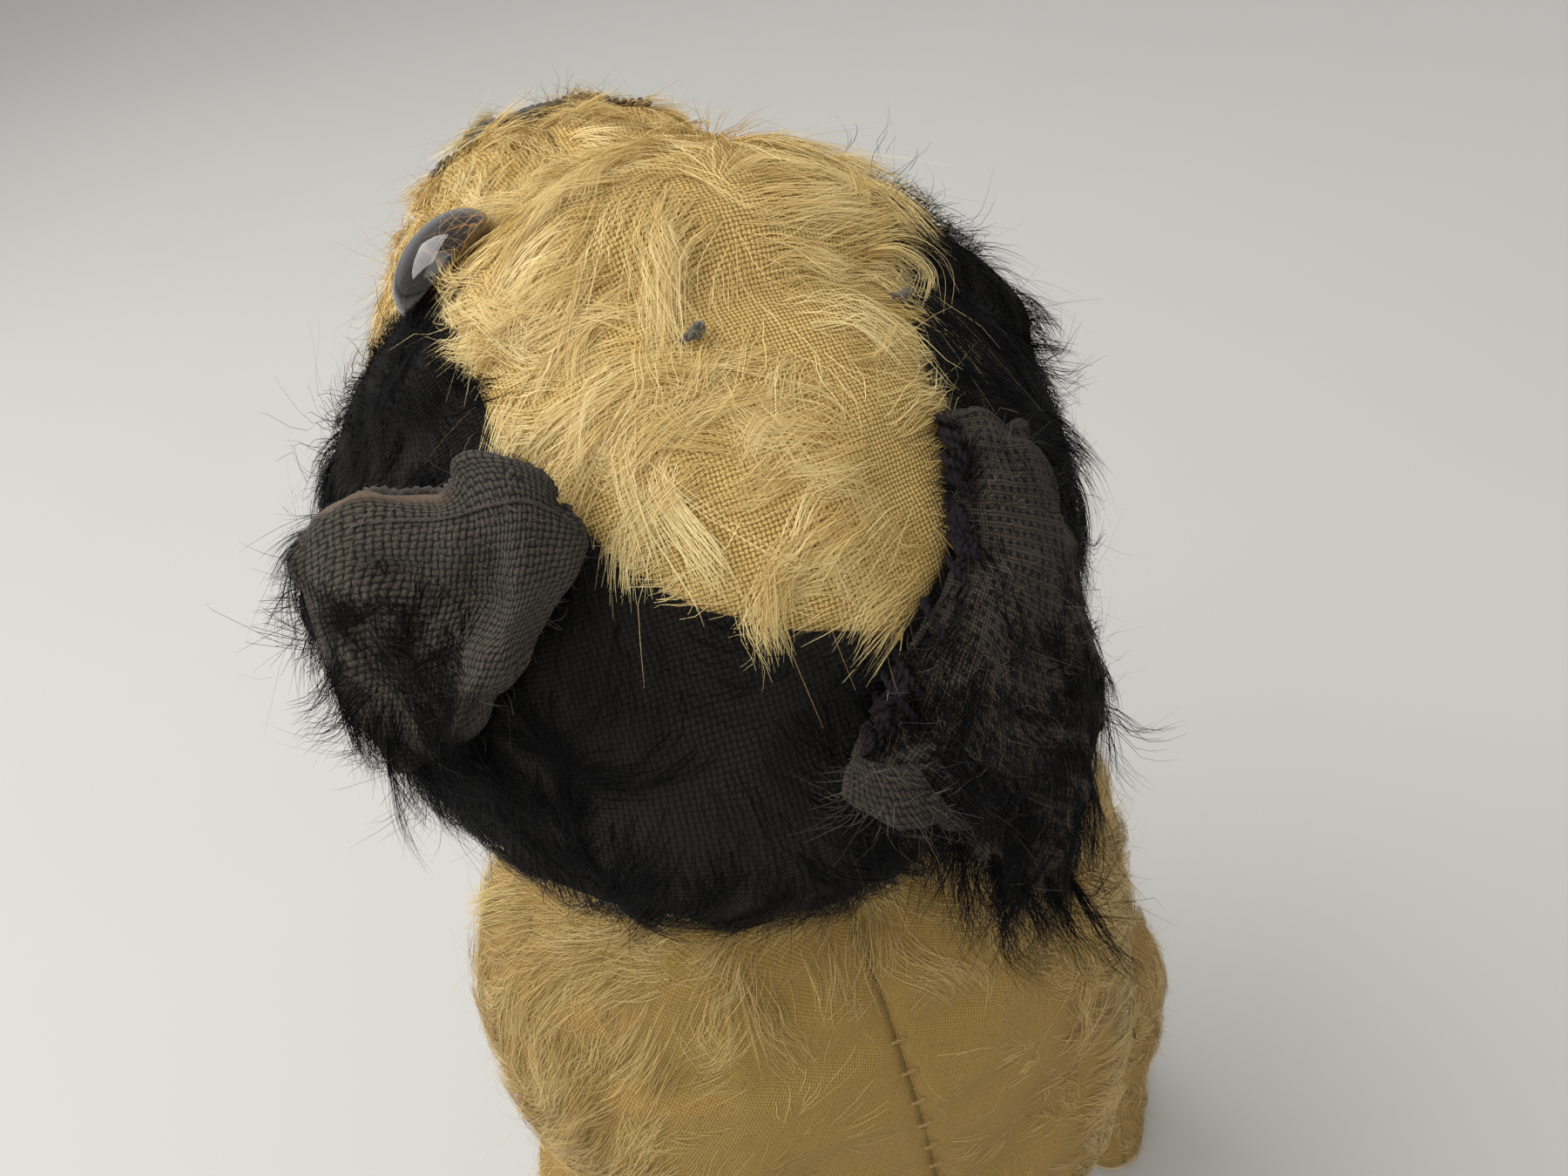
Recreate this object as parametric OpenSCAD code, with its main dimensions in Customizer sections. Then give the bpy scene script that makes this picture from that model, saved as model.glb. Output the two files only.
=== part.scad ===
// Jointed soft toy bear, standing on its two soles. Z is up, the bear faces -Y and its left
// side is +X. The origin is on the floor under the middle of the bear. Sizes are in millimetres.

/* [Head] */
// Width of the head across the sides
head_width = 106; // [100:1:110]
// Length of the skull from brow to back
head_depth = 112; // [108:1:116]
// Height of the skull
head_height = 92; // [88:1:96]
// Width of the muzzle
muzzle_width = 70; // [64:1:74]
// How far the nose is tilted up, in degrees
head_pitch = 31; // [28:1:34]
// Diameter of the glass eyes
eye_diameter = 18; // [14:1:20]

/* [Ears] */
// How far the ear flaps stand off the head
ear_lift = 5; // [4:0.5:7]
// Thickness of the mohair layer of an ear
ear_back_thickness = 1.6; // [1.2:0.1:2]
// Thickness of the ear lining
ear_lining_thickness = 1.2; // [0.8:0.1:1.4]

/* [Torso] */
// Width of the torso at its widest
torso_width = 123; // [120:1:126]
// Depth of the torso at the belly
torso_depth = 109; // [106:1:112]
// Height of the flat top of the torso, where the neck joint sits
torso_top = 145.4; // [144.4:0.2:145.4]

/* [Arms] */
// Height of the shoulder joints over the torso's lowest point
shoulder_height = 98; // [96:1:99]
// Length of an arm from the shoulder joint to the tip of the paw
arm_length = 68; // [62:1:70]
// Width of an arm at the shoulder
arm_width = 37; // [34:1:38]
// Thickness of an arm
arm_thickness = 24; // [20:1:25]

/* [Legs] */
// Height of the hip joints over the torso's lowest point
hip_height = 26; // [25:1:27]
// Length of a leg from the hip joint to the sole
leg_length = 94; // [86:1:100]
// Width of a thigh
leg_width = 35; // [32:1:35]
// Thickness of a leg
leg_thickness = 30; // [26:1:31]
// Length of a foot
foot_length = 54; // [48:1:56]

/* [Joints] */
// Diameter of the limb discs
disc_diameter = 21; // [18:1:21]
// Diameter of the neck discs
neck_disc_diameter = 34; // [30:1:34]
// Thickness of the fibreboard discs
disc_thickness = 2.4; // [2:0.2:2.8]
// Diameter of the cotter pins
pin_diameter = 2.6; // [2:0.2:2.8]
// Gap at each joint
joint_gap = 0.5; // [0.4:0.1:0.8]

/* [Fabric] */
// Thickness of the woven backing
cover = 1.6; // [1.4:0.1:2]
// Facets on round hardware
round_facets = 48; // [32:8:64]

/* [Hidden] */

$fn = round_facets;
gold = [0.80, 0.66, 0.40];
dark = [0.13, 0.12, 0.13];
straw = [0.85, 0.78, 0.58];
board = [0.62, 0.52, 0.38];
steel = [0.62, 0.63, 0.65];
felt = [0.72, 0.60, 0.42];
loose = 0.4;
pin_clear = 0.35;
washer_thickness = 0.8;
washer_diameter = 11;

sole_thickness = 1.4;
lift = leg_length - hip_height + sole_thickness + 0.1;
middle = 8.2;

// The torso's lowest point is raised to its height over the floor.
module up() {
  translate([0, middle, lift]) children();
}

// ---- solids from grids of points ----

// Triangles of a grid with n rows and m columns that starts at point k.
function grid_faces(n, m, k, flip) = [
  for (i = [0:n - 2], j = [0:m - 2])
    let (a = k + i * m + j, b = a + 1, c = a + m, d = c + 1)
      each flip ? [[a, c, d], [a, d, b]] : [[a, d, c], [a, b, d]]
];

// Triangles of the wall between two equal borders, given as lists of point numbers.
function wall_faces(p, q, flip) = [
  for (i = [0:len(p) - 2])
    each flip ? [[p[i], q[i + 1], q[i]], [p[i], p[i + 1], q[i + 1]]]
      : [[p[i], q[i], q[i + 1]], [p[i], q[i + 1], p[i + 1]]]
];

// A sheet with thickness, between an outer and an inner grid.
module sheet_solid(outer, inner, flip = false) {
  n = len(outer);
  m = len(outer[0]);
  k = n * m;
  border = concat(
    [for (j = [0:m - 1]) j],
    [for (i = [1:n - 1]) i * m + m - 1],
    [for (j = [m - 2:-1:0]) (n - 1) * m + j],
    [for (i = [n - 2:-1:0]) i * m]
  );
  polyhedron(
    points = concat([for (r = outer) each r], [for (r = inner) each r]),
    faces = concat(
      grid_faces(n, m, 0, flip),
      grid_faces(n, m, k, !flip),
      wall_faces(border, [for (b = border) b + k], flip)
    ),
    convexity = 8
  );
}

// A round sheet with thickness: closed rings about a pole, outside and inside.
module dish_solid(outer, inner, pole_out, pole_in, flip = false) {
  n = len(outer);
  m = len(outer[0]);
  k = n * m;
  loop = [for (j = [0:m]) (n - 1) * m + j % m];
  skin = [
    for (i = [0:n - 2], j = [0:m - 1])
      let (a = i * m + j, b = i * m + (j + 1) % m)
        each [[a, a + m, b + m], [a, b + m, b]]
  ];
  cap = [for (j = [0:m - 1]) [2 * k, j, (j + 1) % m]];
  over = concat(skin, cap);
  under = concat(
    [for (f = skin) [f[0] + k, f[2] + k, f[1] + k]],
    [for (f = cap) [2 * k + 1, f[2] + k, f[1] + k]]
  );
  faces = concat(over, under, wall_faces(loop, [for (b = loop) b + k], false));
  polyhedron(
    points = concat([for (r = outer) each r], [for (r = inner) each r], [pole_out, pole_in]),
    faces = flip ? [for (f = faces) [f[0], f[2], f[1]]] : faces,
    convexity = 8
  );
}

// A closed body through rings of points, with both ends flat.
module loft_solid(rings, flip = false) {
  n = len(rings);
  m = len(rings[0]);
  faces = concat(
    [
      for (i = [0:n - 2], j = [0:m - 1])
        let (a = i * m + j, b = i * m + (j + 1) % m)
          each [[a, a + m, b + m], [a, b + m, b]]
    ],
    [for (j = [1:m - 2]) [0, j, j + 1]],
    [for (j = [1:m - 2]) [(n - 1) * m, (n - 1) * m + j + 1, (n - 1) * m + j]]
  );
  polyhedron(
    points = [for (r = rings) each r],
    faces = flip ? [for (f = faces) [f[0], f[2], f[1]]] : faces,
    convexity = 8
  );
}

// ---- head surface: distance from the head centre along a direction ----

head_centre = [0, -3.7, 189.5];
neck_level = torso_top + joint_gap;
down = [0, sin(head_pitch), -cos(head_pitch)];
lobes = [
  [[0, 4, 2], [head_width / 2, head_depth / 2, head_height / 2]],
  [[0, -38, -7], [muzzle_width / 2, 42, 31]],
  [[16, -22, -16], [26, 28, 24]],
  [[-16, -22, -16], [26, 28, 24]]
];

function ray(d, c, r) =
  let (
    o = [-c[0] / r[0], -c[1] / r[1], -c[2] / r[2]],
    e = [d[0] / r[0], d[1] / r[1], d[2] / r[2]],
    a = e * e,
    b = e * o,
    q = b * b - a * (o * o - 1)
  ) q > 0 ? max(0.01, (sqrt(q) - b) / a) : 0.01;

function lobe_sum(d, i = 0) =
  i == len(lobes) ? 0 : pow(ray(d, lobes[i][0], lobes[i][1]), 9) + lobe_sum(d, i + 1);

function head_radius(d) =
  let (r = pow(lobe_sum(d), 1 / 9), f = d * down)
    f > 0 ? min(r, (head_centre[2] - neck_level) / f) : r;

// A point over the head: phi runs nose 0, crown 90, back 180; s leans to the bear's left.
function head_dir(phi, s) = [sin(s), -cos(s) * cos(phi), cos(s) * sin(phi)];
function head_at(phi, s, h = 0) = let (d = head_dir(phi, s)) (head_radius(d) + h) * d;

module in_head() {
  translate(head_centre) rotate([-head_pitch, 0, 0]) children();
}

// Panel edges over the head, as angles s against phi.
brow = 30;
gusset_end = 138;
chin = -86;
neck_phi = -90 - head_pitch;
gusset_left = [
  [30, 15], [42, 19], [50, 21.5], [60, 26], [71, 29.5], [83, 30], [95, 29], [108, 23.5],
  [122, 16], [129, 7], [134, -3], [138, -12.5]
];
gusset_right = [
  [30, -17], [36, -21], [42, -27], [50, -35], [60, -38.5], [90, -37.5], [104, -34.5],
  [117, -30], [126, -27], [133, -23], [138, -13.5]
];
muzzle_edge = [
  [-86, 1], [-80, 14], [-70, 26], [-55, 36], [-35, 43], [-15, 46], [0, 45], [12, 42],
  [19, 35], [22, 27], [26, 19.5], [30, 15]
];
back_seam = [[138, -13], [150, -8], [165, -3], [180, 0], [360, 0]];

// Half angle of the round neck opening at phi.
neck_open = 28;
function neck_edge(phi) =
  let (c = cos(phi - neck_phi), q = c > 0 ? cos(neck_open) / c : 2) q < 1 ? acos(q) : -90;

// Edge of the side panel of one side: phi from -90 to 270, side 1 is the bear's left.
function side_edge(phi, side) =
  let (p = phi > 360 + chin ? phi - 360 : phi)
    p <= brow ? (side > 0 ? lookup(p, muzzle_edge) : lookup(p, muzzle_edge) + edge_shift(p))
    : p <= gusset_end ? (side > 0 ? lookup(p, gusset_left) : -lookup(p, gusset_right))
    : max(side * lookup(p, back_seam), neck_edge(p), neck_edge(p - 360));
function edge_shift(p) = p > 12 ? 2 * (p - 12) / 18 : 0;

side_phi = concat(
  [for (p = [-86, -80, -70, -55, -35, -15, 0, 12, 19, 22, 26, 30]) p],
  [for (p = [36, 42, 50, 60, 71, 83, 95, 108, 117, 126, 133, 138]) p],
  [for (p = [150, 165, 180, 195, 205, 213, 218, 225, 232, 239, 246, 253, 260, 265, 270]) p]
);

function pole_mix(t, edge) = 90 - t * (90 - edge);

module head_side(side) {
  steps = [0.16, 0.34, 0.52, 0.68, 0.82, 0.92, 1];
  function grid(h) = [
    for (t = steps)
      [for (p = side_phi) head_at(p, side * pole_mix(t, side_edge(p, side)), h)]
  ];
  difference() {
    dish_solid(grid(0), grid(-cover), head_at(0, side * 90), head_at(0, side * 90, -cover),
      side < 0);
    eye_hole(side);
  }
}

module muzzle(side) {
  rows = [-86, -80, -70, -55, -35, -20, -8, 4, 12, 19, 22, 26, 30];
  cols = [0, 0.17, 0.34, 0.51, 0.68, 0.84, 1];
  function grid(h) = [
    for (p = rows) [for (t = cols) head_at(p, side * t * side_edge(p, side), h)]
  ];
  sheet_solid(grid(0), grid(-cover), side > 0);
}

module gusset() {
  rows = [30, 36, 42, 50, 60, 71, 83, 95, 108, 117, 126, 133, 138];
  cols = [0, 0.09, 0.2, 0.32, 0.44, 0.56, 0.68, 0.8, 0.91, 1];
  function grid(h) = [
    for (p = rows)
      let (a = -side_edge(p, -1), b = side_edge(p, 1))
        [for (t = cols) head_at(p, a + t * (b - a), h)]
  ];
  difference() {
    sheet_solid(grid(0), grid(-cover), true);
    eye_hole(1);
    eye_hole(-1);
  }
}

module stuffing_head() {
  gap = -cover - 2;
  turns = [
    for (p = [-90:15:0]) p, for (p = [10, 17, 22, 26, 30, 36, 42, 50]) p, for (p = [60:15:255]) p
  ];
  rings = [
    for (s = [-82, -68, -54, -43, -34, -26, -18, -9, 0, 9, 18, 26, 34, 43, 54, 68, 82])
      [for (p = turns) head_at(p, s, gap)]
  ];
  difference() {
    loft_solid(rings, true);
    eye_hole(1, 6);
    eye_hole(-1, 6);
    rotate([head_pitch, 0, 0]) translate([0, -head_centre[1], neck_level - head_centre[2]]) {
      translate([0, 0, -2]) cylinder(d = neck_disc_diameter + 1.2, h = 2 + disc_thickness + 1.4);
      cylinder(d = 14, h = 17);
    }
  }
}

// ---- eyes, nose, mouth and knots ----

function eye_phi(side) = side > 0 ? 42 : 33;
function eye_s(side) = side > 0 ? 26 : 31;
function eye_base(side) = head_at(eye_phi(side), side * eye_s(side));

module at_eye(side) {
  d = head_dir(eye_phi(side) - 4, side * (eye_s(side) + 6));
  translate(eye_base(side))
    rotate([0, acos(d[2]), atan2(d[1], d[0])])
      children();
}

module eye_hole(side, d = 3.2) {
  at_eye(side) translate([0, 0, -20]) cylinder(d = d, h = 24, $fn = 24);
}

module eye(side) {
  r = eye_diameter / 2;
  at_eye(side) translate([0, 0, 1.5]) rotate_extrude() polygon(concat(
    [[0, 0], [r - 2.4, 0], [r - 0.7, 0.9], [r, 2]],
    [for (a = [8:8:88]) [r * cos(a), 2 + 4.8 * sin(a)]],
    [[0, 6.8]]
  ));
}

module eye_wire(side) {
  at_eye(side) {
    translate([0, 0, -12]) cylinder(d = 1.2, h = 13.4, $fn = 24);
    translate([0, 0, -13.6]) rotate([90, 0, 0]) rotate_extrude() translate([1.8, 0])
      circle(d = 1, $fn = 16);
  }
}

// A raised strip over the head through a list of [phi, s] with half width w in degrees.
module raised_patch(p0, p1, s0, s1, low, high, n = 6, m = 6) {
  function grid(h) = [
    for (i = [0:n]) let (p = p0 + (p1 - p0) * i / n)
      [for (j = [0:m]) head_at(p, (s0 + (s1 - s0) * j / m) * (1 - 0.25 * i / n), h)]
  ];
  sheet_solid(grid(high), grid(low), false);
}

module strip(a, b, w, low, high) {
  n = 5;
  dir = [b[0] - a[0], b[1] - a[1]];
  q = [-dir[1], dir[0]] / norm(dir) * w;
  function grid(h) = [
    for (i = [0:n]) let (c = a + dir * i / n)
      [head_at(c[0] - q[0], c[1] - q[1], h), head_at(c[0], c[1], h + (h > low ? 0.3 : 0)),
        head_at(c[0] + q[0], c[1] + q[1], h)]
  ];
  sheet_solid(grid(high), grid(low), true);
}

// ---- ears: soft flaps laid over the head ----

// Base line and free edge of each ear as [phi, s, height over the head].
ear_left_base = [[67, 58, 2], [80, 52, 4], [91, 44, 6], [96, 35, 6], [100, 28, 4], [107, 24, 2]];
ear_left_edge = [[110, 60, 4], [124, 58, 4], [140, 53, 3], [143, 47, 3], [132, 39, 3], [121, 27, 2]];
ear_right_base = [[114, -36, 1], [124, -34, 2], [133, -29, 3], [139, -21, 4], [145, -10, 3],
  [151, -2, 2]];
ear_right_edge = [[119, -41, 2], [136, -39, 3], [158, -33, 3], [171, -24, 4], [172, -14, 3],
  [158, -3, 2]];

function curve_at(list, u) =
  let (f = u * (len(list) - 1), i = min(floor(f), len(list) - 2), t = f - i)
    list[i] * (1 - t) + list[i + 1] * t;

function ear_at(base, edge, u, v, h) =
  let (a = curve_at(base, u), b = curve_at(edge, u), q = a * (1 - v) + b * v)
    head_at(q[0], q[1], q[2] + h + ear_lift * sin(180 * v) * (0.35 + 0.65 * sin(180 * u)));

module ear_layer(base, edge, low, high, flip) {
  n = 10;
  m = 9;
  function grid(h) = [
    for (i = [0:n]) [for (j = [0:m]) ear_at(base, edge, i / n, j / m, h)]
  ];
  sheet_solid(grid(high), grid(low), flip);
}

// Slanted stitches along an ear's base line; rise lifts their ends on the ear's side.
module stitches(path, count, h, rise, size, slant) {
  for (k = [0:count - 1]) {
    c = curve_at(path, (k + 0.5) / count);
    a = head_at(c[0] - slant[0], c[1] - slant[1], c[2] + h);
    b = head_at(c[0] + slant[0], c[1] + slant[1], c[2] + h + rise);
    rod(a, b, size);
  }
}

// A round rod between two points.
module rod(a, b, d) {
  v = b - a;
  translate(a) rotate([0, acos(v[2] / norm(v)), atan2(v[1], v[0])])
    cylinder(d = d, h = norm(v), $fn = 12);
}

// ---- joint hardware along +X, with the joint plane at x = 0 ----

module disc(d, x) {
  translate([x, 0, 0]) rotate([0, 90, 0]) difference() {
    cylinder(d = d, h = disc_thickness);
    translate([0, 0, -1]) cylinder(d = pin_diameter + 2 * pin_clear, h = disc_thickness + 2);
  }
}

module washer(x) {
  translate([x, 0, 0]) rotate([0, 90, 0]) difference() {
    cylinder(d = washer_diameter, h = washer_thickness);
    translate([0, 0, -1]) cylinder(d = pin_diameter + 2 * pin_clear, h = washer_thickness + 2);
  }
}

// Cotter pin: an eye beyond x = head, a shank, and two ends curled back beyond x = tail.
module cotter(head, tail) {
  wire = pin_diameter * 0.8;
  eye = 2.4;
  curl = 2.6;
  bend = tail - curl - wire / 2 - 0.2;
  rotate([0, 90, 0]) {
    translate([0, 0, bend]) cylinder(d = pin_diameter, h = head + 1.2 - bend);
    translate([0, 0, head + eye + wire / 2 + 0.2]) rotate([90, 0, 0]) rotate_extrude()
      translate([eye, 0]) circle(d = wire, $fn = 20);
    for (q = [1, -1]) translate([q * curl, 0, bend]) rotate([90, q > 0 ? 180 : 0, 0])
      rotate_extrude(angle = -230 * q) translate([curl, 0]) circle(d = wire, $fn = 20);
  }
}

// ---- torso: rings of z, half width, half depth, centre y ----

torso_rings = [
  [0, 34, 31, 0], [3, 43.5, 40, 0], [9, 51.5, 47, 0], [18, 56.5, 51, -1], [30, 59.5, 53, -1.5],
  [44, 61, 54, -1.5], [58, 61.5, 54.5, -1.5], [72, 61.5, 54, -1.5], [86, 61, 53, -1],
  [99, 60, 51, 0], [111, 57.5, 47.5, 0], [122, 53, 43, 0.5], [131, 46.5, 37.5, 0.5],
  [138.5, 36.5, 31, 0], [143.4, 27.5, 25, 0], [145.4, 21, 21, 0]
];
// The arms sit on flats that face forward and outward; the legs on flats that face sideways.
shoulder_turn = 50;
shoulder_shift = -6;
arm_bed = 6;
arm_normal = [cos(shoulder_turn), -sin(shoulder_turn)];
hip_plane = torso_width / 2 - 8.5;

function ring_value(i, k) =
  k == 1 ? torso_rings[i][1] * torso_width / 123
  : k == 2 ? torso_rings[i][2] * torso_depth / 109
  : k == 0 ? torso_rings[i][0] * torso_top / 145.4
  : torso_rings[i][3];

// Reach of the torso along the arm normal, less a little so that the arm beds in.
shoulder_reach = max([
  for (i = [0:len(torso_rings) - 1])
    norm([arm_normal[0] * ring_value(i, 1), arm_normal[1] * ring_value(i, 2)])
      + arm_normal[1] * ring_value(i, 3)
]) - arm_bed;

// Largest radius at angle th that stays behind the arm flat and the hip flat.
function flat_limit(th, cy, off) =
  let (
    c = abs(cos(th)),
    n = arm_normal[0] * c + arm_normal[1] * sin(th),
    a = n > 0.2 ? (shoulder_reach - off - arm_normal[1] * cy) / n : 1000,
    h = c > 0.2 ? (hip_plane - off) / c : 1000
  ) [a, h];

function torso_at(i, th, off) =
  let (
    z0 = ring_value(i, 0),
    last = len(torso_rings) - 1,
    z = i == 0 ? off : i == last ? torso_top - off : min(max(z0, off + 0.2), torso_top - off - 0.2),
    cy = ring_value(i, 3),
    a = ring_value(i, 1) - off,
    b = ring_value(i, 2) - off,
    free = a * b / norm([b * cos(th), a * sin(th)]),
    lim = flat_limit(th, cy, off),
    r = min(free, lim[0], z0 < 50 ? lim[1] : 1000)
  ) [r * cos(th), cy + r * sin(th), z];

torso_half = [-90:15:90];

module torso_cover(side) {
  n = len(torso_rings);
  function centre(i, off) = let (p = torso_at(i, 90, off)) [2.4, ring_value(i, 3), p[2]];
  function half(off) = concat(
    [[for (t = torso_half) [centre(0, off)[0] * cos(t), 2.4 * sin(t), centre(0, off)[2]]]],
    [for (i = [0:n - 1]) [for (t = torso_half) torso_at(i, t, off)]],
    [[for (t = torso_half) [2.4 * cos(t), 2.4 * sin(t), centre(n - 1, off)[2]]]]
  );
  mirror([side > 0 ? 0 : 1, 0, 0]) sheet_solid(half(0), half(cover), true);
}

module stuffing_torso() {
  off = cover + 7 * loose;
  difference() {
    loft_solid([
      for (i = [0:len(torso_rings) - 1]) [for (t = [0:15:345]) torso_at(i, t, off)]
    ]);
    growler_room();
    translate([0, 0, torso_top - 11]) {
      cylinder(d = neck_disc_diameter - 2, h = 12);
      translate([0, 0, -9]) cylinder(d = 14, h = 11);
    }
    for (q = [0, 1]) mirror([q, 0, 0]) {
      at_shoulder() pocket();
      at_hip() pocket();
    }
  }
}

module pocket() {
  translate([-11, 0, 0]) rotate([0, 90, 0]) cylinder(d = disc_diameter + 1.2, h = 14.6);
  translate([-20, 0, 0]) rotate([0, 90, 0]) cylinder(d = 14, h = 13);
}

module growler_room() {
  translate([0, -4, 39.5]) cylinder(d = 37, h = 49);
}

module at_shoulder() {
  rotate([0, 0, -shoulder_turn]) translate([shoulder_reach, shoulder_shift, shoulder_height])
    children();
}

module at_hip() {
  translate([hip_plane, -4, hip_height]) children();
}

module both() {
  children();
  mirror([1, 0, 0]) children();
}

// ---- limbs: rings of [distance down, bend forward, half width, half thickness] ----

arm_shape = [
  [-17.6, 0, 1, 1], [-16.4, 0, 7, 5], [-12.5, 0, 13, 8.8], [-6, 0, 17, 11], [4, 0, 18.5, 12],
  [16, 0.5, 18, 12], [29, 1.5, 16.6, 11.6], [42, 3.5, 15.6, 11.2], [54, 6.5, 15.4, 11.4],
  [63, 9, 14.2, 10.8], [69, 11, 11, 8.6], [72.6, 12, 6.4, 5.4], [74, 12.4, 1, 1]
];
leg_shape = [
  [-17, 0, 1, 1], [-15.8, 0, 7, 5.8], [-12, 0, 12.4, 9.8], [-6, 0, 16, 12.6],
  [3, 0, 17.5, 14.2], [15, 0, 17.3, 14.5], [29, 0, 15.6, 14], [43, 0, 13.6, 13],
  [55, 0.5, 12.6, 12.4], [64, 3, 14.6, 12.8], [71, 8, foot_length * 0.37, 13.8],
  [77, 12, foot_length * 0.46, 14.4], [82, 13.5, foot_length * 0.49, 14.4],
  [86, 13.5, foot_length * 0.475, 13.4]
];

// One point of a limb skin; th is 0 outward, 90 forward, 180 inward.
function limb_at(shape, scale, i, th, off, closed) =
  let (
    q = shape[i],
    last = len(shape) - 1,
    w = max(q[2] * scale[1] - off, 0.5),
    t = max(q[3] * scale[2] - off, 0.5),
    mid = (shape[0][0] + shape[last][0]) / 2,
    far = shape[last][0] - mid,
    k = !closed && i > last - 3 ? 1 : (far - off) / far,
    l = mid + (q[0] - mid) * k,
    x0 = joint_gap + 0.86 * 12 * scale[2]
  ) [
    max(x0 + t * cos(th), joint_gap + off),
    -(q[1] + w * sin(th)),
    -l * scale[0]
  ];

module limb_half(shape, scale, from, closed, flip) {
  cols = [for (a = [from:20:from + 180]) a];
  function grid(off) = [
    for (i = [0:len(shape) - 1]) [for (a = cols) limb_at(shape, scale, i, a, off, closed)]
  ];
  sheet_solid(grid(0), grid(cover), flip);
}

module limb_stuffing(shape, scale, closed) {
  off = cover + loose;
  last = len(shape) - 1;
  difference() {
    loft_solid([
      for (i = [1:last - (closed ? 1 : 0)])
        [for (a = [0:24:336]) limb_at(shape, scale, i, a, off, closed)]
    ]);
    translate([-2, 0, 0]) rotate([0, 90, 0])
      cylinder(d = disc_diameter + 1.2, h = 2 + limb_disc_x + disc_thickness + 1.2);
    rotate([0, 90, 0]) cylinder(d = 11.8, h = limb_pin_head + 8);
  }
}

arm_scale = [arm_length / 74, arm_width / 37, arm_thickness / 24];
leg_scale = [leg_length / 86, leg_width / 35, leg_thickness / 29];

module arm_pose(side) {
  mirror([side > 0 ? 0 : 1, 0, 0]) at_shoulder() children();
}

module leg_pose(side) {
  mirror([side > 0 ? 0 : 1, 0, 0]) at_hip() children();
}

module pin_hole() {
  translate([-4, 0, 0]) rotate([0, 90, 0]) cylinder(d = pin_diameter + 2 * pin_clear, h = 9);
}

module arm_half(side, inner) {
  arm_pose(side) difference() {
    limb_half(arm_shape, arm_scale, inner ? 90 : -90, true, true);
    if (inner) pin_hole();
  }
}

module leg_half(side, inner) {
  leg_pose(side) difference() {
    limb_half(leg_shape, leg_scale, inner ? 90 : -90, false, true);
    if (inner) pin_hole();
  }
}

// Felt palm: a raised patch on the front of the paw.
module palm(side) {
  function grid(h) = [
    for (i = [8:10]) [for (a = [40:14:138]) limb_at(arm_shape, arm_scale, i, a, -h, true)]
  ];
  arm_pose(side) sheet_solid(grid(1.2), grid(0.1), true);
}

module sole(side) {
  l = leg_shape[len(leg_shape) - 1];
  x0 = joint_gap + 0.86 * 12 * leg_scale[2];
  leg_pose(side) translate([0, 0, -l[0] * leg_scale[0] - 0.1 - sole_thickness])
    linear_extrude(sole_thickness)
    polygon([
      for (a = [0:12:348]) [
        max(x0 + (l[3] * leg_scale[2] - 0.4) * cos(a), joint_gap + 0.4),
        -(l[1] + (l[2] * leg_scale[1] - 0.4) * sin(a))
      ]
    ]);
}

limb_disc_x = joint_gap + cover + 2.2;
limb_washer_x = limb_disc_x + disc_thickness + 0.05;
limb_pin_head = limb_washer_x + washer_thickness + 0.05;
body_disc_x = -cover - 4.4 - disc_thickness;
body_washer_x = body_disc_x - 0.05 - washer_thickness;
body_pin_tail = body_washer_x;

module head_gusset() {
  up() color(gold) in_head() gusset();
}
module muzzle_left() {
  up() color(gold) in_head() muzzle(1);
}
module muzzle_right() {
  up() color(gold) in_head() muzzle(-1);
}
module head_side_left() {
  up() color(dark) in_head() head_side(1);
}
module head_side_right() {
  up() color(dark) in_head() head_side(-1);
}
module head_stuffing() {
  up() color(straw) in_head() stuffing_head();
}
module ear_left_back() {
  up() color(dark) in_head() ear_layer(ear_left_base, ear_left_edge,
    ear_lining_thickness + 0.1, ear_lining_thickness + 0.1 + ear_back_thickness, true);
}
module ear_left_lining() {
  up() color(dark) in_head() ear_layer(ear_left_base, ear_left_edge, 0, ear_lining_thickness, true);
}
module ear_right_back() {
  up() color(dark) in_head() ear_layer(ear_right_base, ear_right_edge,
    ear_lining_thickness + 0.1, ear_lining_thickness + 0.1 + ear_back_thickness, false);
}
module ear_right_lining() {
  up() color(dark) in_head() ear_layer(ear_right_base, ear_right_edge, 0, ear_lining_thickness, false);
}
module ear_right_stitching() {
  h = ear_lining_thickness + ear_back_thickness + 1.9;
  up() color([0.2, 0.16, 0.2]) in_head() stitches(ear_right_base, 17, h, 2.2, 1.3, [2.2, 1.6]);
}
module eye_left() {
  up() color([0.12, 0.06, 0.03]) in_head() eye(1);
}
module eye_right() {
  up() color([0.12, 0.06, 0.03]) in_head() eye(-1);
}
module eye_wires() {
  up() color(steel) in_head() {
    eye_wire(1);
    eye_wire(-1);
  }
}
module nose_stitching() {
  up() color([0.1, 0.07, 0.06]) in_head() raised_patch(13, -5, -15, 15, 0.1, 1.5);
}
module mouth_stitching() {
  up() color([0.1, 0.07, 0.06]) in_head() {
    strip([-6, 0], [-21, 0], 1, 0.1, 0.9);
    strip([-22.6, 2.2], [-31, 16], 1, 0.1, 0.9);
    strip([-22.6, -2.2], [-31, -16], 1, 0.1, 0.9);
  }
}
module thread_knots() {
  up() color([0.12, 0.14, 0.11]) in_head() {
    translate(head_at(91.5, -1.5, 1.8)) sphere(d = 3.2, $fn = 24);
    translate(head_at(91, -36, 1.8)) sphere(d = 3, $fn = 24);
  }
}
module neck_disc_head() {
  up() color(board) translate([0, 0, neck_level]) rotate([0, -90, 0]) disc(neck_disc_diameter, 0.1);
}
module neck_washer_head() {
  up() color(steel) translate([0, 0, neck_level + disc_thickness + 0.15]) rotate([0, -90, 0])
    washer(0);
}
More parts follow.
